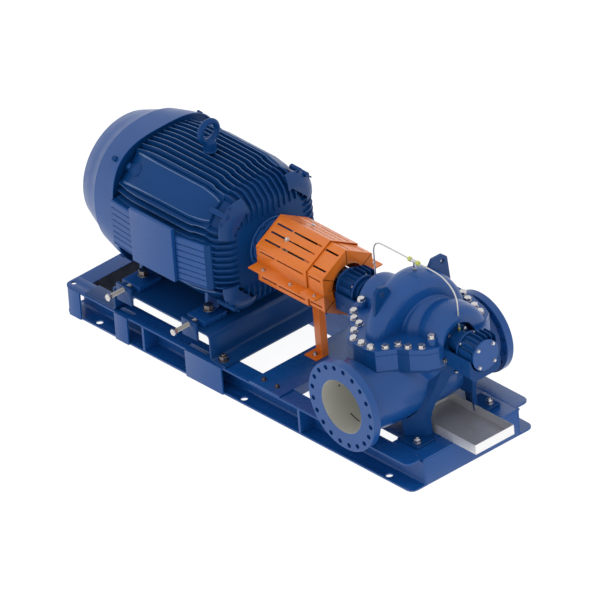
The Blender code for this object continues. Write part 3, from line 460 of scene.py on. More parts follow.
def cut(obj, bm, name, solver="EXACT"):
    """Takes a closed form away from a piece."""
    bmesh.ops.recalc_face_normals(bm, faces=bm.faces)
    cutter = new_object(name, bm)
    cutter.hide_render = cutter.hide_viewport = True
    cutter.display_type = "WIRE"
    modify(obj, name, "BOOLEAN", operation="DIFFERENCE", solver=solver, object=cutter)


def fuse(obj, voxel, smooth):
    """Fuses overlapping forms into one skin with soft joints."""
    modify(obj, "fuse", "REMESH", mode="VOXEL", voxel_size=voxel, use_smooth_shade=True)
    modify(obj, "soften", "SMOOTH", factor=0.5, iterations=smooth)


def hex_bolt(spot, across, height, washer=0.0, thread=0.0, spin=0.0, way=(0, 0, 1)):
    """A hexagon head or nut with a chamfered top, a washer under it and a stud end above it."""
    base = 0.0
    parts = []
    if washer:
        base = across * 0.09
        parts.append(turned(((0.0, washer), (base, washer)), 20))
    end = base + height
    low = circle(across / sqrt(3), 6)
    levels = ((1.0, base), (1.0, base + height * 0.86), (0.93, end))
    parts.append(loft([[(a * share, b * share, level) for a, b in low] for share, level in levels]))
    if thread:
        stud = ((end - 0.004, thread), (end + thread * 0.7, thread), (end + thread * 0.9, thread * 0.8))
        parts.append(turned(stud, 12))
    return moved(merged(parts), at(spot, way, spin))


def bolt_circle(x, way, radius, count, turn, *sizes):
    """Bolts in a circle round the shaft; way is 1 or -1 along X."""
    spots = circle(radius, count, (0.0, SHAFT_Z), turn)
    return [hex_bolt((x, y, z), *sizes, way=(way, 0, 0)) for y, z in spots]


# Materials

def new_material(name):
    """A material with its node tree and its shader."""
    material = bpy.data.materials.new(name)
    material.use_nodes = True
    tree = material.node_tree
    return material, tree, tree.nodes["Principled BSDF"]


def add(tree, kind, values=None, wires=None, **settings):
    """A shader node with its settings, its input values and the outputs wired to its inputs."""
    node = tree.nodes.new(f"ShaderNode{kind}")
    for key, value in settings.items():
        setattr(node, key, value)
    for key, value in (values or {}).items():
        node.inputs[key].default_value = value
    for key, output in (wires or {}).items():
        tree.links.new(output, node.inputs[key])
    return node


def noise(tree, scale, detail=3.0, stretch=None):
    """A noise field in the object's own metres; stretch draws it out along axes."""
    spot = add(tree, "TexCoord").outputs["Object"]
    if stretch:
        spot = add(tree, "Mapping", {"Scale": stretch}, {"Vector": spot}).outputs["Vector"]
    values = {"Scale": scale, "Detail": detail, "Roughness": 0.5}
    return add(tree, "TexNoise", values, {"Vector": spot}).outputs["Fac"]


def spread(tree, value, low=0.0, high=1.0, from_low=0.3, from_high=0.7):
    """Maps a value from one range to another."""
    values = {"From Min": from_low, "From Max": from_high, "To Min": low, "To Max": high}
    return add(tree, "MapRange", values, {"Value": value}).outputs["Result"]


def blend(tree, factor, first, second):
    """A mixture of two colours by a factor; the first may also be the output of a node."""
    node = add(tree, "Mix", {"B": (*second, 1.0)}, {"Factor": factor}, data_type="RGBA")
    if isinstance(first, tuple):
        node.inputs["A"].default_value = (*first, 1.0)
    else:
        tree.links.new(first, node.inputs["A"])
    return node.outputs["Result"]


def finish(tree, shader, colour, roughness, layers):
    """Wires colour, roughness and bump layers of (height field, strength, distance in metres) to a shader."""
    tree.links.new(colour, shader.inputs["Base Color"])
    tree.links.new(roughness, shader.inputs["Roughness"])
    below = {}
    for height, strength, distance in layers:
        bump = add(tree, "Bump", {"Strength": strength, "Distance": distance}, {"Height": height, **below})
        below = {"Normal": bump.outputs["Normal"]}
    tree.links.new(below["Normal"], shader.inputs["Normal"])


def paint(name, dark, light, roughness, cast=0.0, peel=0.05, gloss=0.5):
    """Sprayed paint over steel, or over sand cast iron where cast is above 0."""
    material, tree, shader = new_material(name)
    shader.inputs["Specular IOR Level"].default_value = gloss
    colour = blend(tree, spread(tree, noise(tree, 2.2, 4.0)), dark, light)
    layers = [(noise(tree, 320.0, 2.0), peel, 0.0006)]
    if cast:
        layers.append((noise(tree, 90.0, 4.0), cast, 0.0012))
    finish(tree, shader, colour, spread(tree, noise(tree, 14.0), *roughness), layers)
    return material


def metal(name, dark, light, roughness, stretch=None, scale=60.0, bump=0.08, metallic=1.0, ends=None):
    """Bare or plated metal, with drawn out grain for brushed sheet.

    ends is the colour of a painted highlight on the sides that face the pump's end and, less strongly, the
    near side.
    """
    material, tree, shader = new_material(name)
    shader.inputs["Metallic"].default_value = metallic
    grain = noise(tree, scale, 4.0, stretch)
    colour = blend(tree, spread(tree, grain), dark, light)
    # Painted highlight: the given lighter colour on the sides that face one way.
    if ends:
        normal = add(tree, "NewGeometry").outputs["True Normal"]
        highlight_share = add(tree, "VectorMath", {1: PAINTED_HIGHLIGHT_WAY}, {0: normal}, operation="DOT_PRODUCT")
        colour = blend(tree, spread(tree, highlight_share.outputs["Value"], from_high=0.9), colour, ends)
    finish(tree, shader, colour, spread(tree, noise(tree, 18.0), *roughness), [(grain, bump, 0.0004)])
    return material


# The way that the sides with a metal's painted highlight face
PAINTED_HIGHLIGHT_WAY = (1.0, -0.62, -0.2)
BLUE_DARK = (0.0035, 0.058, 0.235)
BLUE_LIGHT = (0.0055, 0.068, 0.265)
# A darker copy of the blue paint, in two glosses: painted shade on parts that sit in shade, such as the motor
# frame, the casing's legs and the motor table
SHADE_BLUE_DARK = (0.0022, 0.04, 0.158)
SHADE_BLUE_LIGHT = (0.0036, 0.047, 0.18)
cast_blue = paint("cast_blue_paint", BLUE_DARK, BLUE_LIGHT, (0.26, 0.36), cast=0.1, gloss=0.4)
sheet_blue = paint("sheet_blue_paint", BLUE_DARK, BLUE_LIGHT, (0.22, 0.32), peel=0.025, gloss=0.38)
cover_blue = paint("cover_blue_paint", BLUE_DARK, BLUE_LIGHT, (0.3, 0.38), gloss=0.42)
painted_shade_blue = paint("painted_shade_blue_paint", SHADE_BLUE_DARK, SHADE_BLUE_LIGHT, (0.3, 0.4), cast=0.1, gloss=0.14)
lug_shade_blue = paint("lug_painted_shade_paint", SHADE_BLUE_DARK, SHADE_BLUE_LIGHT, (0.3, 0.4), cast=0.1, gloss=0.27)
# A lighter copy of the blue paint: a painted highlight along fin tips and panel edges
painted_highlight_blue = paint("painted_highlight_blue_paint", (0.06, 0.125, 0.27), (0.08, 0.15, 0.31), (0.3, 0.4), gloss=0.5)
orange = paint("orange_paint", (0.66, 0.15, 0.01), (0.73, 0.178, 0.014), (0.28, 0.38))
seam_brown = paint("guard_seam", (0.05, 0.014, 0.003), (0.08, 0.02, 0.005), (0.5, 0.7), gloss=0.2)
zinc = metal("zinc_bolt", (0.52, 0.5, 0.5), (0.68, 0.66, 0.66), (0.2, 0.32))
dark_bolt = metal("blackened_bolt", (0.14, 0.13, 0.13), (0.22, 0.2, 0.2), (0.28, 0.4))
steel = metal("turned_steel", (0.3, 0.29, 0.28), (0.42, 0.41, 0.39), (0.26, 0.38), (1.0, 14.0, 14.0), 40.0)
# The drip tray's sheet has a painted highlight on the sides that face the pump's end and the near side.
stainless = metal(
    "stainless_sheet", (0.44, 0.44, 0.46), (0.53, 0.53, 0.54), (0.3, 0.42), (1.0, 9.0, 9.0), 22.0,
    bump=0.02, metallic=0.55, ends=(0.88, 0.88, 0.88),
)
tube_metal = metal("stainless_tube", (0.52, 0.53, 0.52), (0.64, 0.65, 0.64), (0.18, 0.28), scale=120.0)
fitting = metal(
    "yellow_passivated_fitting", (0.46, 0.5, 0.1), (0.62, 0.66, 0.2), (0.3, 0.42), metallic=0.7,
)
cream = paint("bore_coating", (0.4, 0.4, 0.36), (0.48, 0.48, 0.43), (0.38, 0.52), cast=0.05)
shadow = paint("unlit_recess", (0.002, 0.006, 0.016), (0.004, 0.01, 0.026), (0.6, 0.8), cast=0.05, gloss=0.2)


# Motor

def quarter_turns(points, turns):
    """Points turned about the axis by a number of right angles."""
    for _ in range(turns):
        points = [(-b, a) for a, b in points]
    return points


def mirrored(half, middle_line):
    """A half section and its mirror image, on both sides of a line."""
    return [(middle_line - a, b) for a, b in half] + [(middle_line + a, b) for a, b in reversed(half)]


def fin_tip(reach, offset, power):
    """Distance of a fin's tip from the axis, under an outline that is a rounded square."""
    return (reach**power - abs(offset) ** power) ** (1 / power)


def fin_row(reach):
    """Points of one finned side, from edge to edge, as (offset, height) pairs."""
    points = []
    for offset in FIN_PLACES:
        tip = fin_tip(reach, offset, FRAME_POWER)
        half = [
            (FIN_ROOT + 0.003, FRAME_CORE - 0.002), (FIN_ROOT, FRAME_CORE + 0.003), (FIN_TIP, tip - 0.0025),
            (FIN_TIP * 0.55, tip),
        ]
        points += mirrored(half, offset)
    return points


def fin_strip(stations, offset, turn):
    """The rounded strip along one fin's tip, in the lighter blue of a painted highlight."""
    loops = []
    for x, reach in stations:
        tip = fin_tip(reach, offset, FRAME_POWER)
        section = mirrored([(FIN_TIP * 0.62, tip - 0.002), (FIN_TIP * 0.55, tip + 0.0006)], offset)
        loops.append([(x, y, SHAFT_Z + z) for y, z in quarter_turns(section, turn)])
    return loft(loops)


def frame_loop(reach):
    """The motor frame's finned section, with a sunk flat at each corner under its panel."""
    flat = [(-0.56 * reach, 0.845 * reach), (-0.705 * reach, 0.705 * reach), (-0.845 * reach, 0.56 * reach)]
    quarter = fin_row(reach)[::-1] + flat
    return [(y, SHAFT_Z + z) for turn in range(4) for y, z in quarter_turns(quarter, turn)]


def corner_out(quarter):
    """The way out from the axis at one of the motor's four corners."""
    angle = pi / 4 + quarter * pi / 2
    return 0.0, cos(angle), sin(angle)


def on_corner(quarter, along, out):
    """Y and Z of a point given along and away from the axis at one of the motor's four corners."""
    _, c, s = corner_out(quarter)
    return out * c - along * s, SHAFT_Z + out * s + along * c


def corner_panel(quarter):
    """The smooth panel over one corner of the frame, with a low ridge along its middle."""
    loops = []
    for x, width, edge, ridge in PANEL_STATIONS:
        flare = 0.016 + 0.01 * max(0.0, (-2.48 - x) / 0.12)
        half = [(width, edge), (width + flare, edge - flare * 1.15), (width + flare, 0.38)]
        section = [(0.0, ridge)] + half + [(-a, b) for a, b in reversed(half)]
        loops.append([(x, *on_corner(quarter, along, out)) for along, out in section])
    return loft(loops)


def panel_edge(quarter, hand):
    """The strip along one side of a corner panel, in the lighter blue of a painted highlight."""
    loops = []
    for x, width, edge, _ in PANEL_STATIONS[1:-1]:
        half = 0.0022 + 0.0035 * max(0.0, (-2.4 - x) / 0.19)
        section = (
            (width - half, edge - 0.0005), (width, edge + 0.0012), (width + 2 * half, edge - 0.0035),
            (width + half, edge - 0.008),
        )
        loops.append([(x, *on_corner(quarter, hand * along, out)) for along, out in section])
    return loft(loops)


def motor_frame():
    stations = cross_fade(FRAME_STATIONS, 5)
    loops = [section_at(x, frame_loop(reach)) for x, reach in stations]
    # The frame's fins, panels and their fittings take the darker blue, a painted shade.
    place("motor_frame_fins", loft(loops), painted_shade_blue, ["motor_frame"], angle=40)
    tips = [fin_strip(stations, offset, turn) for turn in range(4) for offset in FIN_PLACES]
    place("motor_fin_painted_highlights", tips, painted_highlight_blue, angle=50)
    panels = [corner_panel(quarter) for quarter in range(4)]
    place("motor_corner_panels", panels, painted_shade_blue, bevel=0.0025, limit=28)
    edges = [panel_edge(quarter, hand) for quarter in range(4) for hand in (-1, 1)]
    place("motor_panel_painted_highlights", edges, painted_highlight_blue, angle=50)
    corner_fittings()
    louvres()


def corner_fittings():
    """Plug and nut behind each corner panel, and the bolt boss in front of it."""
    parts, bolts = [], []
    for quarter in range(4):
        out = corner_out(quarter)
        plug = turned((
            (-0.02, 0.038), (0.012, 0.038), (0.015, 0.035), (0.015, 0.029), (0.011, 0.028), (0.011, 0.008),
        ), 32)
        parts.append(moved(plug, at((-2.51, *on_corner(quarter, 0.0, 0.444)), out)))
        seat = block(-0.021, 0.021, -0.024, 0.024, -0.04, 0.022)
        parts.append(moved(seat, at((-2.588, *on_corner(quarter, 0.0, 0.41)), out)))
        bolts.append(hex_bolt((-2.588, *on_corner(quarter, 0.0, 0.43)), 0.028, 0.013, way=out))
        boss = turned((
            (0.0, 0.013), (0.003, 0.0155), (0.066, 0.0155), (0.068, 0.018), (0.146, 0.018), (0.148, 0.016),
        ), 28)
        parts.append(moved(boss, at((-1.7, *on_corner(quarter, 0.0, 0.4525)), (-1, 0, 0))))
    place("motor_corner_bosses", parts, painted_shade_blue, bevel=0.002)
    place("motor_corner_nuts", bolts, cast_blue, bevel=0.0015)


def louvres():
    slats, backs = [], []
    edges = [LOUVRE_Z[0], *LOUVRE_GAPS, LOUVRE_Z[1]]
    for ends in LOUVRE_BLOCKS:
        for low, high in zip(edges, edges[1:]):
            section = (
                (0.0, low + 0.004), (0.001, high - 0.006), (0.008, high - 0.0005), (0.09, high - 0.0005),
                (0.09, low + 0.002), (0.004, low + 0.002),
            )
            slats.append(loft([[(x, inward - reach, z) for inward, z in section] for x, reach in ends]))
        loops = []
        for z in LOUVRE_Z:
            loop = [(x, 0.012 - reach, z) for x, reach in ends]
            loops.append(loop + [(x, LOUVRE_DEPTH, z) for x, _ in reversed(ends)])
        backs.append(loft(loops))
    place("motor_side_louvres", slats, sheet_blue, bevel=0.0015)
    backs.append(block(-2.401, -2.023, 0.001 - LOUVRE_FACE, LOUVRE_DEPTH, *LOUVRE_Z))
    backs.append(prism(LOUVRE_END, "Z", *LOUVRE_Z))
    place("motor_louvre_backs", backs, painted_shade_blue, bevel=0.002)


def shield_rib(offset, quarter):
    """One rib that follows the frame's fins over the shoulder and onto the drive end's face."""
    line = [(x, fin_tip(reach, offset, SHIELD_POWER)) for x, reach in SHIELD_LINE if abs(offset) < reach]
    inner = RIB_INNER[quarter % 2]
    outline = line + [
        (SHIELD_FACE, inner + 0.012), (SHIELD_FACE - 0.012, inner), (SHIELD_FACE - 0.05, inner),
        (SHIELD_FACE - 0.05, line[-1][1] - 0.05), (-1.8, line[0][1] - 0.045),
        (SHIELD_BACK, line[0][1] - 0.045),
    ]
    rib = prism(outline, "Y", offset - RIB_HALF, offset + RIB_HALF)
    return moved(rib, round_shaft(quarter * pi / 2))


def corner_lug(quarter):
    """The rounded lug at one corner of the drive end."""
    loops = []
    for x, wide, out in CORNER_LUG_STATIONS:
        shares = [-1 + 2 * k / 24 for k in range(25)]
        section = [(wide * t, out - 0.072 * abs(t) ** 2.2) for t in shares]
        section += [(wide * 0.8, 0.34), (-wide * 0.8, 0.34)]
        loops.append([(x, *on_corner(quarter, along, away)) for along, away in section])
    return loft(loops)


def drive_end():
    loops = []
    for x, reach in SHIELD_LINE:
        body = reach - RIB_DEPTH
        sunk = RIB_DEPTH * 0.6 * min(1, (x - SHIELD_BACK) / 0.09)
        loops.append(section_at(x - sunk, squircle(body, body, SHIELD_BODY_POWER, 64)))
    face = SHIELD_FACE - RIB_DEPTH * 0.6 + 0.001
    for half, power in ((0.262, SHIELD_BODY_POWER), (0.17, 2.0)):
        loops.append(section_at(face, squircle(half, half, power, 64)))
    place("drive_end_shield_body", loft(loops), painted_shade_blue, ["drive_end_shield"], angle=40)
    ribs = [shield_rib(offset, quarter) for quarter in range(4) for offset in FIN_PLACES]
    place("drive_end_ribs", ribs, painted_shade_blue, bevel=0.002)
    place("drive_end_corner_lugs", [corner_lug(quarter) for quarter in range(4)], lug_shade_blue, angle=60)
    screws = []
    for quarter in range(4):
        for along in (0.06, -0.06):
            spot = (-1.728, *on_corner(quarter, along, 0.446))
            screws.append(hex_bolt(spot, 0.018, 0.01, way=corner_out(quarter)))
    place("drive_end_corner_screws", screws, painted_shade_blue, bevel=0.001)
    hub = lathe((
        (-1.74, 0.172), (-1.694, 0.172), (-1.69, 0.168), (-1.69, 0.148), (-1.672, 0.144), (-1.668, 0.138),
        (-1.668, 0.058), (-1.69, 0.058),
    ), 64)
    place("drive_end_bearing_cover", hub, cast_blue, bevel=0.0015)
    bolts = bolt_circle(SHIELD_FACE, 1, 0.159, 8, pi / 8, 0.024, 0.012)
    place("drive_end_cover_bolts", bolts, cast_blue, bevel=0.0008)


def fan_cover():
    stations = FAN_COVER + FAN_COVER_INSIDE + FAN_COVER[:1]
    loops = [section_at(x, squircle(half, half, power, 96)) for x, half, power in stations]
    place("fan_cover_shell", loft(loops, close=False), cover_blue, ["fan_cover"], angle=50)
    wall = loft([section_at(x, squircle(0.423, 0.423, 3.1, 96)) for x in (-2.648, -2.636)])
    place("fan_cover_front_wall", wall, painted_shade_blue)
    grille = [torus(-2.987, SHAFT_Z, 0.055 + 0.0235 * k, 0.003, 64, 6) for k in range(12)]
    for spoke in range(8):
        bar = block(-2.984, -2.979, -0.004, 0.004, 0.04, 0.325)
        grille.append(moved(bar, round_shaft(spoke * pi / 4)))
    grille.append(lathe(((-2.99, 0.052), (-2.978, 0.055)), 40))
    place("fan_cover_grille", grille, sheet_blue, angle=40)
    # A dark disc of painted shade behind the grille.
    place("fan_cover_painted_shade", lathe(((-2.94, 0.355), (-2.93, 0.355)), 64), shadow)
    bolts = []
    for quarter in range(4):
        spot = (-2.677, *on_corner(quarter, 0.0, 0.462))
        bolts.append(hex_bolt(spot, 0.034, 0.026, 0.02, way=corner_out(quarter)))
    place("fan_cover_bolts", bolts, painted_shade_blue, bevel=0.001)


def lifting_eye():
    ring_radius, bar = 0.066, 0.02
    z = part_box("lifting_eye")[1].z - ring_radius - bar
    foot = SHAFT_Z + 0.4335
    stem = lathe((
        (foot, 0.044), (foot + 0.008, 0.044), (foot + 0.012, 0.04), (z - 0.066, 0.04), (z - 0.05, 0.03),
    ), 32, (MOTOR_X, 0.0), "Z")
    eye = torus(MOTOR_X, z, ring_radius, bar, 48, 20)
    whole = moved(merged([stem, eye]), Matrix.Translation((EYE_SHIFT, 0, 0)))
    fuse(place("lifting_eye_ring", whole, painted_shade_blue, ["lifting_eye"], angle=40), 0.004, 6)


def motor_feet():
    bolts = []
    for side, end in CORNERS:
        x = MOTOR_X + end * FOOT_OFFSET + FOOT_BOLT_SHIFT
        bolts.append(hex_bolt((x, side * 0.372, FOOT_TOP), 0.054, 0.03, 0.036, spin=0.4))
    place("motor_foot_bolts", bolts, dark_bolt, bevel=0.0015)
    for side, end in CORNERS:
        corner = f"{'near' if side < 0 else 'far'}_{'rear' if end < 0 else 'front'}"
        dress(f"motor_foot_{corner}", cast_blue, 0.004, 3)
        jack_bolt(f"jacking_bolt_{corner}", side, MOTOR_X + end * FOOT_OFFSET)


def jack_bolt(node, side, x):
    profile = []
    y = JACK_START
    while y < JACK_END[side]:
        profile += [(side * y, 0.0125), (side * (y + JACK_PITCH / 2), 0.0145)]
        y += JACK_PITCH
    shank = lathe(profile, 24, (x, JACK_Z), "Y")
    place(f"{node}_screw", shank, steel, [node], bevel=0.0006)
    head = hex_bolt((x, side * (JACK_END[side] + 0.002), JACK_Z), 0.04, 0.022, way=(0, side, 0))
    place(f"{node}_head", head, zinc, [node], bevel=0.001)


# Base

def base():
    under = block(PUMP_X - 0.02, PUMP_X + 0.02, -0.37, 0.37, 0.05, RAIL_TOP - PLATE - 0.0005)
    cut(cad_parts["pump_deck"], under, "deck_rib_cutter")
    opening = block(-2.93, -2.629, -0.368, 0.368, RAIL_TOP - 0.04, RAIL_TOP + 0.04)
    cut(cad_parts["motor_table"], opening, "table_foot_opening")
    for node in (
        "base_rail_near", "base_rail_far", "base_motor_end_channel", "base_pump_end_plate", "pump_deck",
        "guard_cross_beam",
    ):
        dress(node, sheet_blue, 0.002)
    # The motor table gets the darker blue, a painted shade under the motor.
    dress("motor_table", lug_shade_blue, 0.002)
    # A dark plate of painted shade inside the motor end channel.
    inside = block(END_WEB + 0.0005, END_WEB + 0.002, -0.367, 0.367, 0.003, RAIL_TOP - 0.003)
    place("end_channel_painted_shade", inside, shadow)
    rail_roots()
    bolts = []
    for side in (-1, 1):
        bolts.append(hex_bolt((-1.705, side * 0.437, PLATE_TOP), 0.046, 0.028, 0.032, 0.014, 0.2))
        for x in (-1.361, -1.243):
            bolts.append(hex_bolt((x, side * 0.427, PLATE_TOP), 0.024, 0.014, 0.018, 0.006, 0.5))
    place("base_bolts", bolts, dark_bolt, bevel=0.001)


def rail_roots():
    """The rounded roots between the web and the flanges of the rolled channels."""
    web, radius, steps = 0.381, 0.014, 5
    roots = []
    for side in (-1, 1):
        for z, lift in ((PLATE, 1), (RAIL_TOP - PLATE, -1)):
            outline = [(side * web, z)]
            for k in range(steps + 1):
                angle = radians(90 * k / steps)
                out, up = radius * (1 - sin(angle)), radius * (1 - cos(angle))
                outline.append((side * (web + out), z + lift * up))
            roots.append(prism(outline, "X", -3.02, -0.001))
    place("base_rail_roots", roots, sheet_blue, angle=30)


# Guard

def widen_slots():
    """Opens the cooling slots on the guard's slopes to their full width."""
    for node, radius, slots in WIDE_SLOTS:
        boxes = []
        for hand in (-1, 1):
            for start, end, place_on in slots:
                box = block(start, end, -WIDE_SLOT / 2, WIDE_SLOT / 2, -0.02, 0.02)
                lift = Matrix.Translation((0, place_on, radius * cos(GUARD_TURN)))
                boxes.append(moved(box, round_shaft(-hand * GUARD_TURN) @ lift))
        cut(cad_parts[node], merged(boxes), f"{node}_slots")


def guard_seams():
    """The seams between the sleeve's end flaps, from the hole to the corners."""
    seams = []
    for corner in range(6):
        seam = block(GUARD_FACE + 0.0001, GUARD_FACE + 0.0008, -0.0022, 0.0022, *SEAM_REACH)
        seams.append(moved(seam, round_shaft(corner * pi / 3)))
    place("guard_end_seams", seams, seam_brown)


def guard():
    widen_slots()
    guard_seams()
    for node in ("guard_cover_upper", "guard_cover_lower", "guard_sleeve_upper", "guard_sleeve_lower"):
        dress(node, orange, 0.0008, 1)
    dress("guard_post", orange, 0.0012)
    for node in ("coupling_hub_motor", "coupling_hub_pump", "coupling_spacer"):
        dress(node, steel, 0.002)
    screws = []
    for side in (-1, 1):
        for x in (-1.5, -1.26):
            screws.append(hex_bolt((x, side * 0.247, EAR_TOP), 0.02, 0.01, 0.015, spin=0.3))
        screws.append(hex_bolt((-1.06, side * 0.236, EAR_TOP), 0.016, 0.008, 0.012, spin=0.3))
    screws.append(hex_bolt((-1.335, -0.035, 0.2045), 0.024, 0.012, 0.018, spin=0.3))
    flat = WIDE_SLOTS[0][1] * cos(GUARD_TURN)
    for side in (-1, 1):
        out = (0, side * sin(GUARD_TURN), cos(GUARD_TURN))
        screws.append(hex_bolt((-1.427, out[1] * flat, SHAFT_Z + out[2] * flat), 0.02, 0.01, 0.015, way=out))
    place("guard_screws", screws, zinc, bevel=0.0008)


# Pump

def split_outline(long=1.0, wide=1.0):
    """The split flange's outline, or a share of its length and width."""
    points = [(-x, y) for x, y in NEAR_OUTLINE] + list(reversed(NEAR_OUTLINE))
    points += list(reversed(FAR_OUTLINE)) + [(-x, y) for x, y in FAR_OUTLINE]
    return [(PUMP_X + x * long, y * wide) for x, y in points]


def split_slab(share, low, high):
    """A slab with the split flange's outline, between two heights over the shaft."""
    return prism(split_outline(share, share), "Z", SHAFT_Z + low, SHAFT_Z + high)


def fan_out(section, turn, side=1):
    """A section of (distance, radius) pairs at a turn about the shaft, from the pump's middle."""
    return [(PUMP_X + side * x, r * cos(turn), SHAFT_Z + r * sin(turn)) for x, r in section]


def spiral(radii, widths, turn0, turn1, steps):
    """A part of the volute, whose radius and half width change evenly from one turn to another."""
    loops = []
    for i in range(steps + 1):
        part = i / steps
        radius = radii[0] + (radii[1] - radii[0]) * part
        width = widths[0] + (widths[1] - widths[0]) * part
        section = [(x * width, share * radius) for x, share in VOLUTE_PROFILE]
        section = [(section[0][0], 0.02)] + section + [(section[-1][0], 0.02)]
        loops.append(fan_out(section, turn0 + (turn1 - turn0) * part))
    return loft(loops)


def chamber(side, over):
    """The ringed inlet chamber beside the volute, deeper on the far side than on the near side."""
    loops = []
    for i in range(41):
        section = [(x, far + (near - far) * i / 40) for x, far, near in CHAMBERS[side]]
        section = [(section[0][0], 0.021)] + section + [(section[-1][0], 0.021)]
        loops.append(fan_out(section, -over + (pi + 2 * over) * i / 40, side))
    return loft(loops)


def cut_recesses(obj, name):
    """Opens the round recess round the gland at both ends."""
    for side in (-1, 1):
        start, end = PUMP_X + side * (0.377 - RECESS_DEPTH), PUMP_X + side * 0.45
        cut(obj, lathe(((start, RECESS), (end, RECESS)), 64), f"{name}_{'b' if side > 0 else 'a'}")


def split_flange(half, low, high):
    """One half of the split flange, with painted shade in darker blue on upright facets facing away from +X.
    """
    obj = place(f"{half}_split_flange", split_slab(1.0, low, high), cast_blue, bevel=0.003, limit=10)
    obj.data.materials.append(painted_shade_blue)
    for face in obj.data.polygons:
        if abs(face.normal.z) < 0.2 and face.normal.x < LIT_FACING:
            face.material_index = 1
    cut_recesses(obj, f"{half}_recess")


def upper_casing():
    over = 0.06
    parts = [spiral(VOLUTE_RADII[:2], VOLUTE_WIDTHS[:2], -over, pi + over, 40)]
    parts += [chamber(side, over) for side in (-1, 1)]
    parts.append(split_slab(0.97, -0.03, 0.024))
    body = place("upper_casing_dome", parts, cast_blue, ["upper_casing"])
    fuse(body, 0.0045, 5)
    cut(body, block(-1.2, 0.4, -0.6, 0.6, SHAFT_Z - 0.2, SHAFT_Z + 0.004), "dome_split_cutter", "FAST")
    cut_recesses(body, "dome_recess")
    split_flange("upper", 0.0006, SPLIT_FLANGE_TOP)
    # The lugs get the darker blue of painted shade; the far lug gets the same shade with more gloss.
    for name, outline, center, blue in zip(("near", "far"), LUG_OUTLINES, LUG_HOLES, (painted_shade_blue, lug_shade_blue)):
        lug = prism(outline, "X", PUMP_X - 0.013, PUMP_X + 0.013)
        obj = place(f"lifting_lug_{name}", lug, blue, bevel=0.004, segments=3)
        cut(obj, rod(PUMP_X - 0.05, PUMP_X + 0.05, 0.017, 24, center, "X"), f"lug_hole_{name}")


def leg(side_x, side_y):
    loops = []
    for z, *corners in LEG_SECTIONS:
        loops.append([(PUMP_X + side_x * x, side_y * y, z) for x, y in corners])
    return loft(loops)


def lower_casing():
    loops = []
    for y, z, half_x, half_z, power in cross_fade(BODY_STATIONS, 3):
        loops.append([(PUMP_X + a, y, z + b - SHAFT_Z) for a, b in squircle(half_x, half_z, power, 64)])
    parts = [loft(loops)]
    parts.append(spiral(VOLUTE_RADII[1:], VOLUTE_WIDTHS[1:], pi - 0.06, 1.75 * pi, 30))
    parts.append(loft([[(x, y, z) for x, y in split_outline(long, wide)] for z, long, wide in SHOULDERS]))
    parts.append(split_slab(0.965, 0.01 - SPLIT_FLANGE_BOTTOM, -0.01))
    # The legs get the darker blue, a painted shade under the casing.
    place("casing_legs", [leg(*sides) for sides in CORNERS], painted_shade_blue, bevel=0.004, limit=25)
    # A band in the darker blue under the split flange: a painted shadow under its overhang.
    neck = split_slab(0.985, -SPLIT_FLANGE_BOTTOM - 0.022, -SPLIT_FLANGE_BOTTOM + 0.004)
    place("split_flange_painted_shadow", neck, painted_shade_blue, bevel=0.006, limit=10)
    body = place("lower_casing_body", parts, cast_blue, ["lower_casing"])
    fuse(body, 0.008, 7)
    cut(body, bore(((-0.7, 0.1755), *SUCTION_BORE), 64), "suction_cutter", "FAST")
    cut(body, bore(((0.56, 0.1525), *DISCHARGE_BORE), 64), "discharge_cutter", "FAST")
    split_flange("lower", -SPLIT_FLANGE_BOTTOM, -0.0006)
    pump_feet()


def pump_feet():
    pad_top = RAIL_TOP + 0.016
    pads, bolts = [], []
    for side_x, side_y in CORNERS:
        x, y = PUMP_X + side_x * PUMP_FOOT[0], side_y * PUMP_FOOT[1]
        x0, x1 = sorted((x - side_x * 0.135, x + side_x * 0.045))
        y0, y1 = sorted((y - side_y * 0.12, y + side_y * 0.03))
        pads.append(block(x0, x1, y0, y1, RAIL_TOP + 0.0006, pad_top))
        x, y = PUMP_X + side_x * PUMP_FOOT_BOLT[0], side_y * PUMP_FOOT_BOLT[1]
        bolts.append(hex_bolt((x, y, pad_top), 0.036, 0.024, 0.024, 0.01, 0.3))
    place("pump_foot_pads", pads, painted_shade_blue, bevel=0.005, segments=3)
    place("pump_foot_bolts", bolts, zinc, bevel=0.001)


def nozzle_flange(name, face, way, radius, thick, inner, neck, holes, hole_circle):
    """A pipe flange with its bolt holes and the start of its neck; way leads from its face into the pump."""
    back = face + way * thick
    rim = 0.003
    ring = bore((
        (face, inner), (face, radius - rim), (face + way * rim, radius), (back - way * rim, radius),
        (back, radius - rim), (back, neck), (back + way * 0.03, neck - 0.012), (back + way * 0.03, inner),
    ), 96, ring=True)
    obj = place(f"{name}_flange", ring, cast_blue, angle=30)
    ends = sorted((face - way * 0.02, face + way * 0.07))
    for number, spot in enumerate(circle(hole_circle, holes, (PUMP_X, NOZZLE_Z), pi / holes)):
        cut(obj, rod(*ends, FLANGE_HOLE, 20, spot, "Y"), f"{name}_hole_{number}")


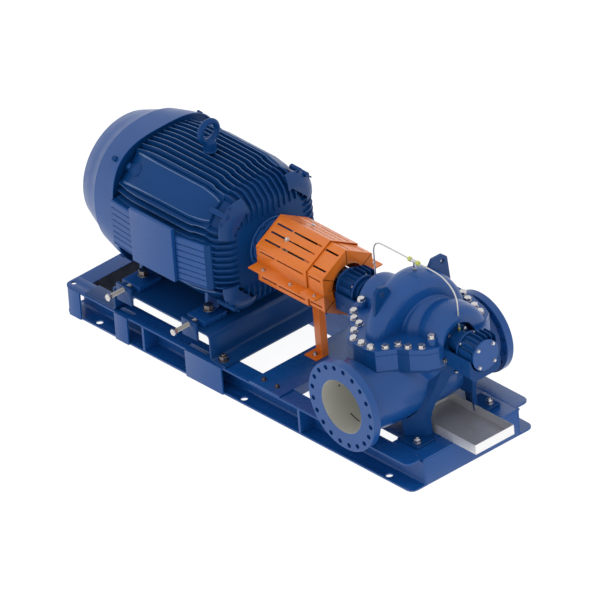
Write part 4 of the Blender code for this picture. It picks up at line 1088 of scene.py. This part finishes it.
def nozzles():
    nozzle_flange("suction", SUCTION_FACE, 1, 0.292, 0.054, 0.1752, 0.232, 20, 0.257)
    nozzle_flange("discharge", DISCHARGE_FACE, -1, 0.26, 0.051, 0.1522, 0.2, 16, 0.2255)
    liner = bore((
        (SUCTION_FACE + 0.001, 0.1753), (-0.35, 0.1753), *SUCTION_BORE[1:], (-0.235, 0.09), (-0.243, 0.088),
        (-0.285, 0.147), (-0.352, 0.1738), (SUCTION_FACE + 0.001, 0.1738),
    ), 96, ring=True)
    place("suction_bore_lining", liner, cream, angle=50)
    liner = bore((
        (DISCHARGE_FACE - 0.001, 0.1523), (0.22, 0.1523), (0.16, 0.11), (0.158, 0.106), (0.219, 0.1508),
        (DISCHARGE_FACE - 0.001, 0.1508),
    ), 96, ring=True)
    place("discharge_bore_lining", liner, cream, angle=50)
    center = (PUMP_X, NOZZLE_Z)
    # Dark discs of painted shade at the blind ends of the bores.
    ends = [rod(-0.236, -0.23, 0.092, 48, center, "Y"), rod(0.156, 0.162, 0.11, 48, center, "Y")]
    place("nozzle_painted_shade", ends, shadow)
    suction_bore_painted_shade()


def suction_bore_painted_shade():
    """Painted shade on the suction bore's lining: a dark arc and a small dark disc where a tapping is."""
    section = ((0.1735, -0.499), (0.1735, -0.491), (0.1755, -0.491), (0.1755, -0.499))
    loops = []
    for k in range(13):
        angle = radians(-121.7 + 28 * k / 12)
        loops.append([(PUMP_X + r * cos(angle), y, NOZZLE_Z + r * sin(angle)) for r, y in section])
    c, s = cos(radians(176)), sin(radians(176))
    tapping = turned(((0.0, 0.007), (0.0025, 0.007)), 16)
    moved(tapping, at((PUMP_X + 0.1757 * c, -0.497, NOZZLE_Z + 0.1757 * s), (-c, 0, -s)))
    place("suction_bore_painted_shade", [loft(loops), tapping], shadow)


def casing_bolts():
    top = SHAFT_Z + SPLIT_FLANGE_TOP
    nuts = []
    for reach, y in SPLIT_BOLTS:
        for side in (-1, 1):
            spin = 7.3 * reach + 11.0 * y + side
            nuts.append(hex_bolt((PUMP_X + side * reach, y, top), *CASING_NUT, spin=spin))
    bosses = []
    for side, hand in CORNERS:
        x, y = PUMP_X + side * BOSS_BOLT[0], hand * BOSS_BOLT[1]
        profile = ((top - 0.02, 0.034), (top + BOSS_LIFT - 0.004, 0.03), (top + BOSS_LIFT, 0.027))
        bosses.append(lathe(profile, 32, (x, y), "Z"))
        nuts.append(hex_bolt((x, y, top + BOSS_LIFT), *CASING_NUT, spin=side))
    place("casing_bolt_bosses", bosses, cast_blue)
    nuts.append(hex_bolt((PUMP_X, -0.441, top), *CASING_NUT, spin=0.2))
    place("casing_nuts", nuts, zinc, bevel=0.0012)


def bearing_end(name, side):
    """Gland, bearing housing, cap, bracket and their bolts at one end of the pump."""
    def x(distance):
        return PUMP_X + side * distance

    def turn(profile, ring=True):
        return lathe([(x(distance), radius) for distance, radius in profile], 48, ring=ring)

    gland = turn((
        (0.3, 0.088), (0.33, 0.088), (0.332, 0.102), (0.35, 0.102), (0.352, 0.1), (0.352, 0.07),
        (0.423, 0.07), (0.425, 0.068), (0.425, SHAFT_HOLE), (0.3, SHAFT_HOLE),
    ))
    place(f"seal_gland_{name}_body", gland, painted_shade_blue, [f"seal_gland_{name}"], bevel=0.0015)
    housing = [turn((
        (0.44, 0.078), (0.458, 0.08), (0.458, 0.104), (0.476, 0.104), (0.476, 0.09), (0.59, 0.09),
        (0.592, 0.096), (0.6, 0.096), (0.6, SHAFT_HOLE), (0.44, SHAFT_HOLE),
    ))]
    for y, top in HOUSING_FINS:
        corners = (
            (0.482, -0.01), (0.482, top - 0.006), (0.49, top), (0.57, top), (0.59, top - 0.01), (0.59, -0.01),
        )
        outline = [(x(distance), SHAFT_Z + height) for distance, height in corners]
        housing.append(prism(outline, "Y", y - HOUSING_FIN_HALF, y + HOUSING_FIN_HALF))
    place(f"bearing_housing_{name}_body", housing, painted_shade_blue, [f"bearing_housing_{name}"], bevel=0.0015)
    cap = [(0.6005, 0.096), (0.603, 0.1), (0.61, 0.1), (0.612, 0.097)]
    open_end = side < 0
    if open_end:
        cap += [(0.612, SHAFT_HOLE), (0.6005, SHAFT_HOLE)]
    place(f"bearing_cap_{name}_disc", turn(cap, open_end), cast_blue, [f"bearing_cap_{name}"], bevel=0.0012)
    bolts = bolt_circle(x(0.612), side, 0.083, 4, pi / 4, 0.018, 0.01, 0.0115)
    bolts += bolt_circle(x(0.476), side, 0.097, 5, radians(69), 0.015, 0.01)
    bolts += bolt_circle(x(0.352), side, 0.086, 4, pi / 4, 0.02, 0.014)
    place(f"bearing_bolts_{name}", bolts, zinc, bevel=0.0006)
    bracket(f"bearing_bracket_{name}", x)


def bracket(node, x):
    """The cradle that carries the bearing housing from the casing's side."""
    seat = [pi * k / BRACKET_STEPS for k in range(BRACKET_STEPS + 1)]
    seat = [(BRACKET_SEAT * cos(angle), -BRACKET_SEAT * sin(angle)) for angle in seat]
    loops = []
    for distance, half, depth, foot, low in BRACKET_STATIONS:
        outer = [(-half, 0.0), (-half, -depth), (-foot, -low), (foot, -low), (half, -depth), (half, 0.0)]
        loops.append([(x(distance), y, SHAFT_Z + z) for y, z in outer + seat])
    place(f"{node}_body", loft(loops), painted_shade_blue, [node], bevel=0.003)
    bolts, painted_shade_dots = [], []
    for hand in (-1, 1):
        spot = (x(0.385), hand * 0.1285, SHAFT_Z - 0.069)
        bolts.append(hex_bolt(spot, 0.024, 0.014, 0.017, way=(0, hand, 0)))
        spot = (x(0.445), hand * 0.1, SHAFT_Z - 0.126)
        bolts.append(hex_bolt(spot, 0.022, 0.012, 0.016, way=(0, 0, -1)))
        # Small dark discs of painted shade on the bracket's sides.
        painted_shade_dots.append(rod(hand * 0.119, hand * 0.1235, 0.006, 16, (x(0.524), SHAFT_Z - 0.055), "Y"))
    place(f"{node}_bolts", bolts, steel, bevel=0.0008)
    place(f"{node}_plugs", painted_shade_dots, shadow)


def tube(path, radius):
    """A round tube along a path in a plane of constant Y."""
    side = Vector((0, 1, 0))
    loops = []
    for i, point in enumerate(path):
        ahead, behind = Vector(path[min(i + 1, len(path) - 1)]), Vector(path[max(i - 1, 0)])
        up = (ahead - behind).normalized().cross(side)
        loops.append([tuple(Vector(point) + side * a + up * b) for a, b in circle(radius, 12)])
    return loft(loops)


def flush_line():
    for name, side in (("drive_end", -1), ("free_end", 1)):
        path = cross_fade([(PUMP_X + side * x, FLUSH_Y, z) for x, z in FLUSH_PATHS[side]], 6)
        node = f"flush_tube_{name}"
        place(f"{node}_bent", tube(path, 0.005), tube_metal, [node], angle=50)
    z = FLUSH_Z
    middle_line = (PUMP_X, FLUSH_Y)
    body = [
        rod(PUMP_X - 0.026, PUMP_X + 0.026, 0.01, 20, (FLUSH_Y, z), "X"),
        rod(z - 0.05, z, 0.0085, 20, middle_line),
        rod(z - 0.07, z - 0.048, 0.013, 6, middle_line),
    ]
    place("flush_tee_body", body, tube_metal, ["flush_tee"], bevel=0.0008)
    boss = lathe(((z - 0.105, 0.03), (z - 0.074, 0.024), (z - 0.07, 0.021)), 32, middle_line, "Z")
    place("flush_tee_boss", boss, cast_blue)
    nuts = []
    for side in (-1, 1):
        nuts.append(hex_bolt((PUMP_X + side * 0.024, FLUSH_Y, z), 0.026, 0.024, way=(side, 0, 0)))
        nuts.append(hex_bolt((PUMP_X + side * 0.367, FLUSH_Y, 0.89), 0.014, 0.018))
    place("flush_line_nuts", nuts, fitting, bevel=0.0006)


def pump():
    upper_casing()
    lower_casing()
    nozzles()
    casing_bolts()
    bearing_end("drive_end", -1)
    bearing_end("free_end", 1)
    dress("pump_shaft", steel, 0.001)
    flush_line()
    dress("drip_tray", stainless, 0.0008)


def motor():
    motor_frame()
    drive_end()
    fan_cover()
    lifting_eye()
    motor_feet()
    dress("terminal_cover", sheet_blue, 0.003, 3)
    dress("motor_shaft", steel, 0.001)


# Studio

# Metres a pixel, the layout's origin in the photograph, and half its size, in pixels
UNIT = 0.005929
PHOTO_ORIGIN = (473.2, 460.6)
PHOTO_HALF = 300.0
# The camera's axes, at azimuth 50.47, elevation 32.0 and roll 4.86 degrees
RIGHT = Vector((0.66878, 0.73999, -0.07182))
UP = Vector((-0.35345, 0.40144, 0.84493))
BACK = Vector((0.6541, -0.5397, 0.5299))


def camera():
    data = bpy.data.cameras.new("photo_camera")
    data.type = "ORTHO"
    data.ortho_scale = 2 * PHOTO_HALF * UNIT
    data.clip_start, data.clip_end = 0.1, 60.0
    obj = linked("photo_camera", data)
    center = ORIGIN + (RIGHT * (PHOTO_HALF - PHOTO_ORIGIN[0]) + UP * (PHOTO_ORIGIN[1] - PHOTO_HALF)) * UNIT
    rotation = Matrix((RIGHT, UP, BACK)).transposed()
    obj.matrix_world = Matrix.Translation(center + BACK * 8.0) @ rotation.to_4x4()
    bpy.context.scene.camera = obj


def studio():
    """A white floor under even, shadowless light from all round, as in the photograph."""
    mesh = bpy.data.meshes.new("studio_floor")
    half = 30.0
    corners = [(-half, -half, 0), (half, -half, 0), (half, half, 0), (-half, half, 0)]
    mesh.from_pydata(corners, [], [(0, 1, 2, 3)])
    floor = linked("studio_floor", mesh)
    material, _, shader = new_material("studio_floor")
    white = (1.0, 1.0, 1.0, 1.0)
    for key, value in (
        ("Base Color", (0.18, 0.18, 0.18, 1.0)), ("Roughness", 0.9), ("Specular IOR Level", 0.0),
        ("Emission Color", white), ("Emission Strength", 0.93),
    ):
        shader.inputs[key].default_value = value
    mesh.materials.append(material)
    world = bpy.data.worlds.new("studio")
    world.use_nodes = True
    background = world.node_tree.nodes["Background"]
    background.inputs["Color"].default_value = white
    background.inputs["Strength"].default_value = 1.0
    bpy.context.scene.world = world
    bpy.context.scene.view_settings.view_transform = "Standard"
    bpy.context.scene.view_settings.look = "None"


base()
motor()
guard()
pump()
camera()
studio()
